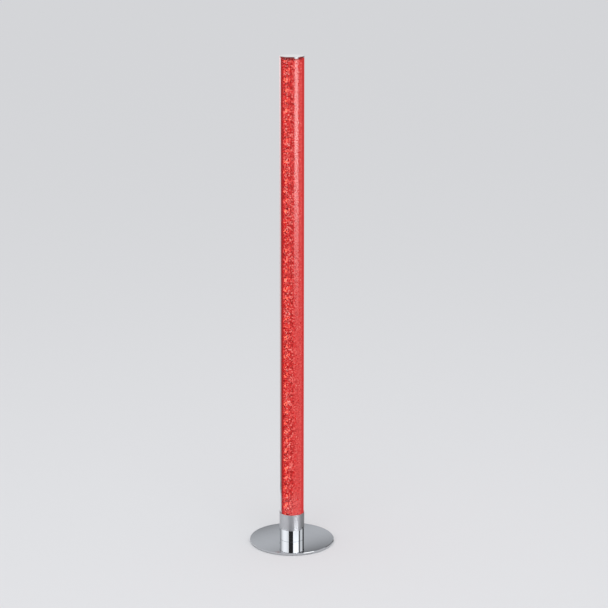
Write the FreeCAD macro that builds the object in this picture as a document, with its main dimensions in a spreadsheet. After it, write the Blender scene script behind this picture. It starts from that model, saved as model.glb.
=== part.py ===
import FreeCAD, Part
import math
import os

import Sketcher
from FreeCAD import Placement, Rotation, Vector

# LED light column on a round foot. Millimetres, +Z up, origin in the middle of the footprint on the floor.
# The light side of the column faces -Y, its metal back and the supply inlet face +Y.

SIZES = [
    ("total_height", 1155, "floor to the top of the cap"),
    ("fit_gap", 0.15, "radial gap of parts that slip into each other"),
    ("thread_gap", 0.05, "radial gap round a thread"),
    ("cut_overrun", 1, "how far a cutting tool runs past the surface"),
    ("pad_thick", 1, "foam ring under the plate"),
    ("pad_margin", 4, "rim of the plate to rim of the foam"),
    ("pad_hole", 80, "opening of the foam ring"),
    ("plate_diameter", 200, "base plate"),
    ("plate_thick", 4.5, "base plate"),
    ("plate_bevel", 0.8, "base plate, upper rim"),
    ("base_screw_diameter", 5, "thread"),
    ("base_screw_head", 9.4, "countersunk head"),
    ("base_screw_length", 10, "head and thread"),
    ("base_screw_inset", 6, "rim of the threaded disc to the screws"),
    ("base_screw_key", 3, "hexagon socket across flats"),
    ("base_screw_key_depth", 1.8, "hexagon socket"),
    ("base_screw_count", 3, "pieces"),
    ("cup_shoulder", 0.7, "width of the shoulder that carries the collar"),
    ("neck_wall", 1.55, "wall of the neck, whose bore is the cup's too"),
    ("cup_floor", 2, "floor of the cup"),
    ("cup_height", 28, "plate to shoulder"),
    ("cup_bevel", 0.4, "lower rim of the cup"),
    ("neck_height", 10, "shoulder to the end of the neck"),
    ("nut_plate_gap", 3.5, "cup's bore to the threaded disc"),
    ("nut_plate_thick", 4, "threaded disc in the cup"),
    ("inlet_height", 17, "top of the plate to the axis of the inlet"),
    ("inlet_seat_depth", 0.8, "spot face on the cup"),
    ("inlet_flange", 13, "inlet flange"),
    ("inlet_flange_thick", 2, "inlet flange"),
    ("inlet_barrel", 10, "threaded barrel"),
    ("inlet_barrel_length", 12, "seat to the inner end"),
    ("inlet_bore", 6.4, "takes the plug of the lead"),
    ("inlet_bore_depth", 9.5, "takes the plug of the lead"),
    ("inlet_pin", 2, "centre pin"),
    ("inlet_pin_sink", 4.4, "mouth of the bore to the tip of the pin"),
    ("inlet_pin_bevel", 0.5, "tip of the pin"),
    ("inlet_tail", 2, "solder tails behind the barrel"),
    ("inlet_strip_width", 1.6, "spring contact"),
    ("inlet_strip_thick", 0.4, "spring contact"),
    ("inlet_nut_width", 12, "nut across flats"),
    ("inlet_nut_thick", 2.4, "nut"),
    ("spacer_height", 2, "under the controller board"),
    ("spacer_diameter", 6, "under the controller board"),
    ("board_screw_diameter", 3, "thread"),
    ("board_screw_head", 5.5, "pan head"),
    ("board_screw_head_height", 2, "pan head"),
    ("board_screw_length", 7.5, "under the head"),
    ("board_screw_inset", 3.5, "rim of the controller board to its screws"),
    ("board_screw_slot", 0.8, "slot in the head"),
    ("board_screw_count", 3, "pieces"),
    ("controller_diameter", 40, "controller board"),
    ("controller_thick", 1.6, "controller board"),
    ("chip_length", 8.7, "microcontroller"),
    ("chip_width", 3.9, "microcontroller"),
    ("chip_height", 1.5, "microcontroller"),
    ("chip_stand", 0.15, "board to the package"),
    ("chip_lead_span", 6, "over the leads"),
    ("chip_lead_pitch", 1.27, "leads"),
    ("chip_lead_width", 0.42, "leads"),
    ("chip_lead_height", 0.6, "leads"),
    ("chip_lead_count", 7, "leads on a side"),
    ("regulator_length", 6.5, "voltage regulator"),
    ("regulator_width", 3.5, "voltage regulator"),
    ("regulator_height", 1.7, "voltage regulator"),
    ("regulator_tab_width", 3, "cooling tab"),
    ("regulator_tab_reach", 1.7, "cooling tab"),
    ("regulator_tab_thick", 0.3, "cooling tab"),
    ("driver_length", 6.5, "power transistor"),
    ("driver_width", 6.1, "power transistor"),
    ("driver_height", 2.3, "power transistor"),
    ("driver_pitch", 7, "row of power transistors"),
    ("driver_count", 3, "one for each colour"),
    ("resistor_length", 3.2, "chip resistor"),
    ("resistor_width", 1.6, "chip resistor"),
    ("resistor_height", 0.6, "chip resistor"),
    ("resistor_pitch", 3, "row on the controller board"),
    ("resistor_count", 5, "row on the controller board"),
    ("capacitor_diameter", 8, "electrolytic capacitor"),
    ("capacitor_height", 11, "electrolytic capacitor"),
    ("capacitor_groove", 0.35, "crimp groove"),
    ("capacitor_groove_width", 0.7, "crimp groove"),
    ("capacitor_groove_height", 1.8, "board to the crimp groove"),
    ("terminal_length", 8, "two pole terminal"),
    ("terminal_width", 7.6, "two pole terminal"),
    ("terminal_height", 8.5, "two pole terminal"),
    ("terminal_pitch", 3.8, "wire entries"),
    ("terminal_entry", 1.8, "wire entries"),
    ("terminal_entry_height", 4, "wire entries above the board"),
    ("terminal_entry_depth", 3, "wire entries"),
    ("terminal_screw", 2.6, "screw wells"),
    ("connector_length", 12.4, "four pole header"),
    ("connector_width", 5.8, "four pole header"),
    ("connector_height", 7, "four pole header"),
    ("connector_wall", 0.8, "four pole header"),
    ("plug_stand", 3, "plug above the rim of the header"),
    ("wire_pitch", 2.5, "wires in the plug"),
    ("wire_diameter", 1.2, "wires to the LED boards"),
    ("wire_count", 4, "common wire and three colours"),
    ("wire_rise", 9, "upright run above the plug"),
    ("solder_pitch", 2.4, "solder pads on the LED board"),
    ("solder_length", 3.5, "wire end on the LED board"),
    ("supply_wire", 1.4, "wires from the inlet"),
    ("supply_run", 1.6, "straight ends of these wires"),
    ("collar_wall", 1.3, "satin collar"),
    ("collar_height", 39, "satin collar"),
    ("collar_gap", 0.2, "column to the collar's bore"),
    ("collar_bevel", 0.3, "both rims of the collar"),
    ("set_screw_diameter", 4, "set screw"),
    ("set_screw_height", 3.3, "lower rim of the collar to the screw's axis"),
    ("set_screw_sink", 0.1, "screw below the collar's surface"),
    ("set_screw_entry", 1.7, "point of the screw in the holder"),
    ("set_screw_key", 2, "hexagon socket across flats"),
    ("set_screw_key_depth", 2, "hexagon socket"),
    ("set_screw_count", 2, "pieces"),
    ("holder_flange", 3, "carries the column"),
    ("holder_plug", 12.5, "holder below its flange"),
    ("holder_wall", 3.35, "wall of the plug"),
    ("holder_flange_width", 13, "rim of the flange to the wire passage"),
    ("holder_rim_height", 5, "rim inside the column"),
    ("holder_rim_wall", 2, "rim inside the column"),
    ("holder_rim_cut", 8, "rim ends this far behind the axis"),
    ("column_diameter", 56, "shell and cover"),
    ("shell_wall", 1.8, "aluminium back"),
    ("shell_half_angle", 57, "degrees either side of +Y"),
    ("web_depth", 8.6, "inside of the shell to the face that carries the LEDs"),
    ("web_thick", 1.5, "aluminium back"),
    ("rail_thick", 1, "rails on the web"),
    ("rail_depth", 4, "rails on the web"),
    ("rail_spread", 30, "over both rails"),
    ("port_spread", 16, "between the screw ports"),
    ("port_wall", 1.1, "screw ports"),
    ("port_sink", 0.3, "port into the web"),
    ("end_screw_diameter", 2.9, "self tapping screws at both ends"),
    ("end_screw_head", 5.4, "heads of these screws"),
    ("end_screw_cross", 3.2, "cross recess, length of an arm over both sides"),
    ("end_screw_cross_width", 0.7, "cross recess"),
    ("end_screw_cross_depth", 0.9, "cross recess"),
    ("end_screw_length", 12, "head and thread"),
    ("cover_wall", 2, "clear cover"),
    ("cover_gap_angle", 0.3, "degrees between shell and cover"),
    ("tongue_thick", 1.6, "cover tongues behind the shell's edges"),
    ("tongue_gap", 0.2, "tongue to shell"),
    ("tongue_web_gap", 1.1, "end of a tongue to the web"),
    ("tongue_root_angle", 7, "degrees in front of the shell's edge"),
    ("film_thick", 0.5, "crinkled film"),
    ("film_gap", 0.2, "film to cover"),
    ("film_edge_angle", 9, "degrees in front of the shell's edge"),
    ("film_end_gap", 0.3, "film to the upper holder"),
    ("led_pitch", 23.05, "light spots along the column"),
    ("led_width", 5, "LED package"),
    ("led_height", 1.6, "LED package"),
    ("led_lens", 4, "round window of the package"),
    ("led_lens_depth", 0.3, "round window of the package"),
    ("led_board_width", 12, "LED boards"),
    ("led_board_thick", 1, "LED boards"),
    ("led_board_rise", 0.7, "collar to the lower board"),
    ("led_board_joint", 0.5, "between the boards"),
    ("led_top_margin", 14, "least free length above the upper board"),
    ("led_tape_thick", 0.2, "heat conducting tape"),
    ("led_tape_margin", 0.5, "edge of the board to edge of the tape"),
    ("led_resistor_offset", 5, "LED to its resistor"),
    ("link_pitch", 3, "wires that join the boards"),
    ("link_diameter", 0.8, "wires that join the boards"),
    ("link_length", 6, "wires that join the boards"),
    ("receiver_width", 6, "eye for the remote control"),
    ("receiver_depth", 3.2, "eye for the remote control"),
    ("receiver_dome", 4, "eye for the remote control"),
    ("receiver_dome_depth", 1.2, "eye for the remote control"),
    ("receiver_offset", 13, "first LED to the eye"),
    ("top_flange", 2, "upper holder"),
    ("cap_tape_thick", 0.7, "tape under the cap"),
    ("cap_tape_margin", 7.2, "inside of the cap to the tape"),
    ("cap_wall", 0.8, "chromed cap"),
    ("cap_round", 0.5, "upper rim of the cap"),
]

# Places of the parts on the controller board, as shares of its radius
CHIP_SHARES = (-0.345, 0.125)
REGULATOR_SHARES = (0.09, -0.49)
DRIVER_SHARES = (0.495, -0.575)
RESISTOR_SHARES = (0.81, -0.38)
CAPACITOR_SHARES = (-0.71, 0.05)
TERMINAL_SHARES = (0.06, -0.05)
CONNECTOR_SHARES = (-0.4, -0.54)

# How much of its shorter run each bend of a wire takes up
ARC_SHARE = 0.45

# Heights above the floor and other places that follow from the sizes
PLATE_TOP = "(dims.pad_thick + dims.plate_thick)"
CUP_FLOOR_TOP = f"({PLATE_TOP} + dims.cup_floor)"
NUT_PLATE_TOP = f"({CUP_FLOOR_TOP} + dims.nut_plate_thick)"
CONTROLLER_BOTTOM = f"({NUT_PLATE_TOP} + dims.spacer_height)"
CONTROLLER_TOP = f"({CONTROLLER_BOTTOM} + dims.controller_thick)"
INLET_Z = f"({PLATE_TOP} + dims.inlet_height)"
COLLAR_BORE = "(dims.column_diameter + 2 * dims.collar_gap)"
COLLAR_DIAMETER = f"({COLLAR_BORE} + 2 * dims.collar_wall)"
NECK_DIAMETER = f"({COLLAR_BORE} - 2 * dims.fit_gap)"
CUP_DIAMETER = f"({NECK_DIAMETER} + 2 * dims.cup_shoulder)"
CUP_BORE = f"({NECK_DIAMETER} - 2 * dims.neck_wall)"
NUT_PLATE_DIAMETER = f"({CUP_BORE} - 2 * dims.nut_plate_gap)"
INLET_SEAT = f"({CUP_DIAMETER} / 2 - dims.inlet_seat_depth)"
INLET_MOUTH = f"({INLET_SEAT} + dims.inlet_flange_thick)"
INLET_END = f"({INLET_SEAT} - dims.inlet_barrel_length)"
INLET_TAIL_END = f"({INLET_END} - dims.inlet_tail)"
INLET_STRIP_Z = f"({INLET_Z} + dims.inlet_bore / 2 + dims.inlet_strip_thick / 2)"
CUP_TOP = f"({PLATE_TOP} + dims.cup_height)"
NECK_TOP = f"({CUP_TOP} + dims.neck_height)"
COLLAR_TOP = f"({CUP_TOP} + dims.collar_height)"
SET_SCREW_Z = f"({CUP_TOP} + dims.set_screw_height)"
HOLDER_PLUG_DIAMETER = f"({CUP_BORE} - 2 * dims.fit_gap)"
SET_SCREW_FACE = f"({COLLAR_DIAMETER} / 2 - dims.set_screw_sink)"
SET_SCREW_POINT = f"({HOLDER_PLUG_DIAMETER} / 2 - dims.set_screw_entry)"
COLUMN_BOTTOM = f"({NECK_TOP} + dims.holder_flange)"
COLUMN_TOP = "(dims.total_height - dims.top_flange - dims.cap_tape_thick - dims.cap_wall)"
COLUMN_LENGTH = f"({COLUMN_TOP} - {COLUMN_BOTTOM})"
SHELL_BORE = "(dims.column_diameter - 2 * dims.shell_wall)"
COVER_BORE = "(dims.column_diameter - 2 * dims.cover_wall)"
TONGUE_DIAMETER = f"({SHELL_BORE} - 2 * dims.tongue_gap)"
FILM_DIAMETER = f"({COVER_BORE} - 2 * dims.film_gap)"
FILM_BORE = f"({FILM_DIAMETER} - 2 * dims.film_thick)"
RIM_DIAMETER = f"({FILM_BORE} - 2 * dims.film_gap)"
WEB_FACE = f"({SHELL_BORE} / 2 - dims.web_depth)"
WEB_BACK = f"({WEB_FACE} + dims.web_thick)"
TONGUE_END = f"(acos(({WEB_FACE} - dims.tongue_web_gap) / ({TONGUE_DIAMETER} / 2)) / 1 deg)"
PORT_Y = f"({WEB_BACK} - dims.port_sink + dims.end_screw_diameter / 2 + dims.port_wall)"
PORT_HOLE = "(dims.end_screw_diameter + 2 * dims.thread_gap)"
END_SCREW_HOLE = "(dims.end_screw_diameter + 2 * dims.fit_gap)"
END_SCREW_WELL = "(dims.end_screw_head + 2 * dims.fit_gap)"
LED_TAPE_FACE = f"({WEB_FACE} - dims.led_tape_thick)"
LED_BOARD_FACE = f"({LED_TAPE_FACE} - dims.led_board_thick)"
LED_BOARD_BOTTOM = f"({COLLAR_TOP} + dims.led_board_rise)"
LEDS_PER_BOARD = (
    f"floor(({COLUMN_TOP} - dims.led_top_margin - {LED_BOARD_BOTTOM}) / (2 * dims.led_pitch))"
)
LED_BOARD_LENGTH = f"({LEDS_PER_BOARD} * dims.led_pitch)"
BASE_SCREW_PLACE = ("0", f"({NUT_PLATE_DIAMETER} / 2 - dims.base_screw_inset)")
BOARD_SCREW_PLACE = ("0", "-(dims.controller_diameter / 2 - dims.board_screw_inset)")
FLANGE_TOP = f"({COLUMN_TOP} + dims.top_flange)"
CAP_CEILING = "(dims.total_height - dims.cap_wall)"
CAP_BORE = "(dims.column_diameter - 2 * dims.cap_wall)"

doc = FreeCAD.newDocument("floor_lamp")
dims = doc.addObject("Spreadsheet::Sheet", "dims")
for row, (alias, number, note) in enumerate(SIZES, start=1):
    dims.set(f"A{row}", note)
    dims.set(f"B{row}", str(number))
    dims.setAlias(f"B{row}", alias)
doc.recompute()

nodes = []


def value(expression):
    """The number that an expression of the sheet stands for."""
    return float(dims.evalExpression(f"({expression}) * 1"))


def point(x, y, z="0"):
    return Vector(value(x), value(y), value(z))


def finish(item, label):
    """Names a sub-part and puts it on the list of what is written."""
    item.Label = label
    nodes.append(item)
    return item


# Sketches


def new_body(label):
    return finish(doc.addObject("PartDesign::Body", label), label)


def origin(body, role):
    return next(item for item in body.Origin.OriginFeatures if item.Role == role)


def add_sketch(body, plane="XY_Plane", offset="0"):
    """An empty sketch. On XZ_Plane its normal is -Y, so that an offset there is minus the Y it lies at."""
    sketch = body.newObject("Sketcher::SketchObject", f"{body.Label}_sketch")
    sketch.AttachmentSupport = [(origin(body, plane), "")]
    sketch.MapMode = "FlatFace"
    sketch.setExpression("AttachmentOffset.Base.z", f"({offset}) * 1")
    return sketch


def bind(sketch, kind, *where, size):
    index = sketch.addConstraint(Sketcher.Constraint(kind, *where, value(size)))
    sketch.setExpression(f"Constraints[{index}]", f"({size}) * 1")


def add_circle(sketch, diameter, x="0", y="0"):
    radius = f"({diameter}) / 2"
    circle = sketch.addGeometry(Part.Circle(point(x, y), Vector(0, 0, 1), value(radius)), False)
    bind(sketch, "Radius", circle, size=radius)
    bind(sketch, "DistanceX", circle, 3, size=x)
    bind(sketch, "DistanceY", circle, 3, size=y)


def add_outline(sketch, corners):
    """A closed outline of straight lines through corners given as pairs of expressions."""
    spots = [point(x, y) for x, y in corners]
    lines = [
        sketch.addGeometry(Part.LineSegment(start, end), False)
        for start, end in zip(spots, spots[1:] + spots[:1])
    ]
    for line, following in zip(lines, lines[1:] + lines[:1]):
        sketch.addConstraint(Sketcher.Constraint("Coincident", line, 2, following, 1))
    for line, (x, y) in zip(lines, corners):
        bind(sketch, "DistanceX", line, 1, size=x)
        bind(sketch, "DistanceY", line, 1, size=y)


def add_rectangle(sketch, width, height, x="0", y="0"):
    left, right = f"{x} - ({width}) / 2", f"{x} + ({width}) / 2"
    low, high = f"{y} - ({height}) / 2", f"{y} + ({height}) / 2"
    add_outline(sketch, [(left, low), (right, low), (right, high), (left, high)])


def add_hexagon(sketch, flats, x="0", y="0"):
    reach = f"({flats}) / sqrt(3)"
    turns = range(30, 390, 60)
    add_outline(sketch, [(f"{x} + {reach} * cos({a})", f"{y} + {reach} * sin({a})") for a in turns])


# Features of a body


def settle(body, feature):
    body.Tip = feature
    doc.recompute()
    return feature


def pad(body, sketch, length):
    feature = body.newObject("PartDesign::Pad", f"{body.Label}_pad")
    feature.Profile = sketch
    feature.setExpression("Length", f"({length}) * 1")
    sketch.Visibility = False
    return settle(body, feature)


def pocket(body, sketch, length):
    """Cuts along the sketch's normal and makes sure that it took something away."""
    before = body.Shape.Volume
    feature = body.newObject("PartDesign::Pocket", f"{body.Label}_pocket")
    feature.Profile = sketch
    feature.Reversed = True
    feature.setExpression("Length", f"({length}) * 1")
    settle(body, feature)
    if not body.Shape.Volume < before:
        raise RuntimeError(f"{feature.Label} cuts nothing")
    return feature


def revolve(body, corners):
    """A turned piece: corners are radius and height."""
    sketch = add_sketch(body, "XZ_Plane")
    add_outline(sketch, corners)
    feature = body.newObject("PartDesign::Revolution", f"{body.Label}_turned")
    feature.Profile = sketch
    feature.ReferenceAxis = (sketch, ["V_Axis"])
    return settle(body, feature)


def around(body, features, count):
    """Repeats features evenly round the column's axis."""
    feature = body.newObject("PartDesign::PolarPattern", f"{body.Label}_around")
    feature.Originals = features
    feature.Axis = (origin(body, "Z_Axis"), [""])
    feature.setExpression("Occurrences", count)
    return settle(body, feature)


def along(body, features, axis, spacing, count):
    """Repeats features in a row."""
    feature = body.newObject("PartDesign::LinearPattern", f"{body.Label}_row")
    feature.Originals = features
    feature.Direction = (origin(body, axis), [""])
    feature.Mode = "Spacing"
    feature.setExpression("Offset", f"({spacing}) * 1")
    feature.setExpression("Occurrences", count)
    return settle(body, feature)


def rims(shape, diameter, height):
    """Names of the full circles of one diameter at one height."""
    tolerance = 1e-6 * value(diameter)
    return [
        f"Edge{index}"
        for index, edge in enumerate(shape.Edges, start=1)
        if isinstance(edge.Curve, Part.Circle)
        and abs(edge.Curve.Radius - value(diameter) / 2) < tolerance
        and abs(edge.Curve.Center.z - value(height)) < tolerance
        and edge.isClosed()
    ]


def dress(body, kind, size, *circles):
    """A Chamfer or Fillet on rims given as pairs of diameter and height."""
    base = body.Tip
    names = [name for circle in circles for name in rims(base.Shape, *circle)]
    feature = body.newObject(f"PartDesign::{kind}", f"{body.Label}_{kind.lower()}")
    feature.Base = (base, names)
    feature.setExpression("Size" if kind == "Chamfer" else "Radius", size)
    return settle(body, feature)


def block(body, plane, offset, width, height, length, x="0", y="0"):
    """A padded rectangle."""
    sketch = add_sketch(body, plane, offset)
    add_rectangle(sketch, width, height, x, y)
    return pad(body, sketch, length)


def rod(body, plane, offset, diameter, length, x="0", y="0"):
    """A padded circle."""
    sketch = add_sketch(body, plane, offset)
    add_circle(sketch, diameter, x, y)
    return pad(body, sketch, length)


def drill(body, plane, offset, diameter, length, x="0", y="0"):
    """A round pocket."""
    sketch = add_sketch(body, plane, offset)
    add_circle(sketch, diameter, x, y)
    return pocket(body, sketch, length)


def slot(body, plane, offset, width, height, length, x="0", y="0"):
    """A rectangular pocket."""
    sketch = add_sketch(body, plane, offset)
    add_rectangle(sketch, width, height, x, y)
    return pocket(body, sketch, length)


def screw_cone(body, kind, wide, narrow, face, x="0", y="0", down=False):
    """A 90 degree countersunk head or its seat, with its wide end on the face."""
    cone = body.newObject(f"PartDesign::{kind}", f"{body.Label}_cone")
    tall = f"({wide} - {narrow}) / 2"
    cone.setExpression("Radius1", f"{narrow if down else wide} / 2")
    cone.setExpression("Radius2", f"{wide if down else narrow} / 2")
    cone.setExpression("Height", tall)
    cone.AttachmentSupport = [(origin(body, "XY_Plane"), "")]
    cone.MapMode = "FlatFace"
    cone.setExpression("AttachmentOffset.Base.x", f"({x}) * 1")
    cone.setExpression("AttachmentOffset.Base.y", f"({y}) * 1")
    cone.setExpression("AttachmentOffset.Base.z", f"{face} - {tall}" if down else f"({face}) * 1")
    return settle(body, cone)


# Extruded sections of the column, from whole cylinders and boxes


def place(item, x="0", y="0", z="0", turn="0"):
    item.Placement = Placement(Vector(0, 0, 0), Rotation(Vector(0, 0, 1), 1))
    item.setExpression("Placement.Base.x", f"({x}) * 1")
    item.setExpression("Placement.Base.y", f"({y}) * 1")
    item.setExpression("Placement.Base.z", f"({z}) * 1")
    item.setExpression("Placement.Rotation.Angle", f"({turn}) * 1")
    return item


def sector(name, diameter, start, sweep, bottom, height):
    """A slice of a cylinder about the column's axis, from an angle counted from +X."""
    item = doc.addObject("Part::Cylinder", name)
    item.setExpression("Radius", f"({diameter}) / 2")
    item.setExpression("Height", f"({height}) * 1")
    item.setExpression("Angle", f"({sweep}) * 1")
    return place(item, z=bottom, turn=start)


def cylinder(name, diameter, bottom, height, x="0", y="0"):
    item = doc.addObject("Part::Cylinder", name)
    item.setExpression("Radius", f"({diameter}) / 2")
    item.setExpression("Height", f"({height}) * 1")
    return place(item, x, y, bottom)


def box(name, x, y, bottom, width, depth, height):
    item = doc.addObject("Part::Box", name)
    item.setExpression("Length", f"({width}) * 1")
    item.setExpression("Width", f"({depth}) * 1")
    item.setExpression("Height", f"({height}) * 1")
    return place(item, x, y, bottom)


def cut(name, base, tool):
    item = doc.addObject("Part::Cut", name)
    item.Base = base
    item.Tool = tool
    return item


def common(name, *shapes):
    item = doc.addObject("Part::MultiCommon", name)
    item.Shapes = list(shapes)
    return item


def fuse(name, *shapes):
    item = doc.addObject("Part::MultiFuse", name)
    item.Shapes = list(shapes)
    item.Refine = True
    return item


def curved_wall(name, outer, inner, start, sweep, bottom, height):
    """A slice of a tube about the column's axis."""
    whole = sector(f"{name}_outer", outer, start, sweep, bottom, height)
    overrun = f"{height} + 2 * dims.cut_overrun"
    core = cylinder(f"{name}_core", inner, f"{bottom} - dims.cut_overrun", overrun)
    return cut(name, whole, core)


# Wires


def wire_path(spots):
    """Straight runs joined by tangent arcs, each as large as its two runs allow."""
    edges = []
    start = spots[0]
    for before, corner, after in zip(spots, spots[1:], spots[2:]):
        back = (before - corner).normalize()
        ahead = (after - corner).normalize()
        reach = ARC_SHARE * min((before - corner).Length, (after - corner).Length)
        quarter_turn = (-back).getAngle(ahead) / 4
        middle = corner + (back + ahead).normalize() * (reach * math.tan(quarter_turn))
        entry, leave = corner + back * reach, corner + ahead * reach
        edges += [Part.LineSegment(start, entry).toShape(), Part.Arc(entry, middle, leave).toShape()]
        start = leave
    edges.append(Part.LineSegment(start, spots[-1]).toShape())
    return Part.Wire(edges)


def wires(label, routes, diameter):
    """A bundle of round wires, one solid for each route."""
    radius = value(diameter) / 2
    solids = []
    for spots in routes:
        path = wire_path(spots)
        section = Part.Wire(Part.makeCircle(radius, spots[0], spots[1] - spots[0]))
        solid = path.makePipeShell([section], True, False)
        expected = math.pi * radius**2 * path.Length
        if abs(solid.Volume - expected) > expected / 100:
            raise RuntimeError(f"{label} is not a round wire all the way")
        solids.append(solid)
    item = doc.addObject("Part::Feature", label)
    item.Shape = Part.makeCompound(solids)
    return finish(item, label)


# Foot


def floor_pad():
    body = new_body("floor_pad")
    sketch = add_sketch(body)
    add_circle(sketch, "dims.plate_diameter - 2 * dims.pad_margin")
    add_circle(sketch, "dims.pad_hole")
    pad(body, sketch, "dims.pad_thick")


def base_plate():
    body = new_body("base_plate")
    rod(body, "XY_Plane", "dims.pad_thick", "dims.plate_diameter", "dims.plate_thick")
    dress(body, "Chamfer", "dims.plate_bevel", ("dims.plate_diameter", PLATE_TOP))
    hole = "(dims.base_screw_diameter + 2 * dims.fit_gap)"
    shank = drill(body, "XY_Plane", "dims.pad_thick", hole, "dims.plate_thick", *BASE_SCREW_PLACE)
    head = "(dims.base_screw_head + 2 * dims.fit_gap)"
    sink = screw_cone(body, "SubtractiveCone", head, hole, "dims.pad_thick", *BASE_SCREW_PLACE)
    around(body, [shank, sink], "dims.base_screw_count")


def base_screws():
    body = new_body("base_screws")
    size = "dims.base_screw_diameter", "dims.base_screw_length"
    shank = rod(body, "XY_Plane", "dims.pad_thick", *size, *BASE_SCREW_PLACE)
    cone = "dims.base_screw_head", "dims.base_screw_diameter"
    head = screw_cone(body, "AdditiveCone", *cone, "dims.pad_thick", *BASE_SCREW_PLACE)
    sketch = add_sketch(body, "XY_Plane", "dims.pad_thick")
    add_hexagon(sketch, "dims.base_screw_key", *BASE_SCREW_PLACE)
    socket = pocket(body, sketch, "dims.base_screw_key_depth")
    around(body, [shank, head, socket], "dims.base_screw_count")


def socket_cup():
    body = new_body("socket_cup")
    outside, neck, bore = f"{CUP_DIAMETER} / 2", f"{NECK_DIAMETER} / 2", f"{CUP_BORE} / 2"
    corners = [
        ("0", PLATE_TOP),
        (outside, PLATE_TOP),
        (outside, CUP_TOP),
        (neck, CUP_TOP),
        (neck, NECK_TOP),
        (bore, NECK_TOP),
        (bore, CUP_FLOOR_TOP),
        ("0", CUP_FLOOR_TOP),
    ]
    revolve(body, corners)
    dress(body, "Chamfer", "dims.cup_bevel", (CUP_DIAMETER, PLATE_TOP))
    hole = "dims.base_screw_diameter + 2 * dims.fit_gap"
    screw = drill(body, "XY_Plane", PLATE_TOP, hole, "dims.cup_floor", *BASE_SCREW_PLACE)
    around(body, [screw], "dims.base_screw_count")
    tap = "dims.set_screw_diameter + 2 * dims.thread_gap"
    length = f"({NECK_DIAMETER} - {CUP_BORE}) / 2 + 2 * dims.cut_overrun"
    start = f"-({NECK_DIAMETER} / 2 + dims.cut_overrun)"
    lock = drill(body, "XZ_Plane", start, tap, length, "0", SET_SCREW_Z)
    around(body, [lock], "dims.set_screw_count")
    spot = "dims.inlet_flange + 2 * dims.fit_gap"
    depth = "dims.inlet_seat_depth + dims.cut_overrun"
    drill(body, "XZ_Plane", f"-({INLET_SEAT} + {depth})", spot, depth, "0", INLET_Z)
    hole = "dims.inlet_barrel + 2 * dims.fit_gap"
    drill(body, "XZ_Plane", f"-{INLET_SEAT}", hole, "dims.inlet_barrel", "0", INLET_Z)


def nut_plate():
    body = new_body("nut_plate")
    rod(body, "XY_Plane", CUP_FLOOR_TOP, NUT_PLATE_DIAMETER, "dims.nut_plate_thick")
    tap = "dims.base_screw_diameter + 2 * dims.thread_gap"
    screw = drill(body, "XY_Plane", CUP_FLOOR_TOP, tap, "dims.nut_plate_thick", *BASE_SCREW_PLACE)
    around(body, [screw], "dims.base_screw_count")
    tap = "dims.board_screw_diameter + 2 * dims.thread_gap"
    screw = drill(body, "XY_Plane", CUP_FLOOR_TOP, tap, "dims.nut_plate_thick", *BOARD_SCREW_PLACE)
    around(body, [screw], "dims.board_screw_count")


# Supply inlet


def dc_jack():
    body = new_body("dc_jack_body")
    rod(body, "XZ_Plane", f"-{INLET_MOUTH}", "dims.inlet_flange", "dims.inlet_flange_thick", "0", INLET_Z)
    rod(body, "XZ_Plane", f"-{INLET_SEAT}", "dims.inlet_barrel", "dims.inlet_barrel_length", "0", INLET_Z)
    drill(body, "XZ_Plane", f"-{INLET_MOUTH}", "dims.inlet_bore", "dims.inlet_bore_depth", "0", INLET_Z)
    hole = "dims.inlet_pin + 2 * dims.thread_gap"
    drill(body, "XZ_Plane", f"-{INLET_SEAT}", hole, "dims.inlet_barrel_length", "0", INLET_Z)
    wide = "dims.inlet_strip_width + 2 * dims.fit_gap"
    tall = "dims.inlet_strip_thick + 2 * dims.fit_gap"
    start = f"-({INLET_SEAT} - dims.inlet_strip_thick)"
    slot(body, "XZ_Plane", start, wide, tall, "dims.inlet_barrel_length", "0", INLET_STRIP_Z)

    body = new_body("dc_jack_pin")
    tip = f"({INLET_MOUTH} - dims.inlet_pin_sink)"
    rod(body, "XZ_Plane", f"-{tip}", "dims.inlet_pin", f"{tip} - {INLET_TAIL_END}", "0", INLET_Z)
    dress_tip(body)

    body = new_body("dc_jack_contact")
    tip = f"({INLET_SEAT} - dims.inlet_strip_thick - dims.fit_gap)"
    wide, tall = "dims.inlet_strip_width", "dims.inlet_strip_thick"
    block(body, "XZ_Plane", f"-{tip}", wide, tall, f"{tip} - {INLET_TAIL_END}", "0", INLET_STRIP_Z)

    body = new_body("dc_jack_nut")
    wall = f"sqrt(({CUP_BORE} / 2) ^ 2 - (dims.inlet_nut_width / 2) ^ 2)"
    sketch = add_sketch(body, "XZ_Plane", f"-{wall}")
    add_hexagon(sketch, "dims.inlet_nut_width", "0", INLET_Z)
    add_circle(sketch, "dims.inlet_barrel + 2 * dims.thread_gap", "0", INLET_Z)
    pad(body, sketch, "dims.inlet_nut_thick")


def dress_tip(body):
    """Bevels the tip of the inlet's pin."""
    base = body.Tip
    tip = max(range(len(base.Shape.Edges)), key=lambda index: base.Shape.Edges[index].BoundBox.YMin)
    feature = body.newObject("PartDesign::Chamfer", "dc_jack_pin_chamfer")
    feature.Base = (base, [f"Edge{tip + 1}"])
    feature.setExpression("Size", "dims.inlet_pin_bevel")
    settle(body, feature)


# Controller


def shares(pair):
    """A place on the controller board as expressions."""
    return tuple(f"({share} * dims.controller_diameter / 2)" for share in pair)


def board_spacers():
    body = new_body("board_spacers")
    sketch = add_sketch(body, "XY_Plane", NUT_PLATE_TOP)
    add_circle(sketch, "dims.spacer_diameter", *BOARD_SCREW_PLACE)
    add_circle(sketch, "dims.board_screw_diameter + 2 * dims.fit_gap", *BOARD_SCREW_PLACE)
    around(body, [pad(body, sketch, "dims.spacer_height")], "dims.board_screw_count")


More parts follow.
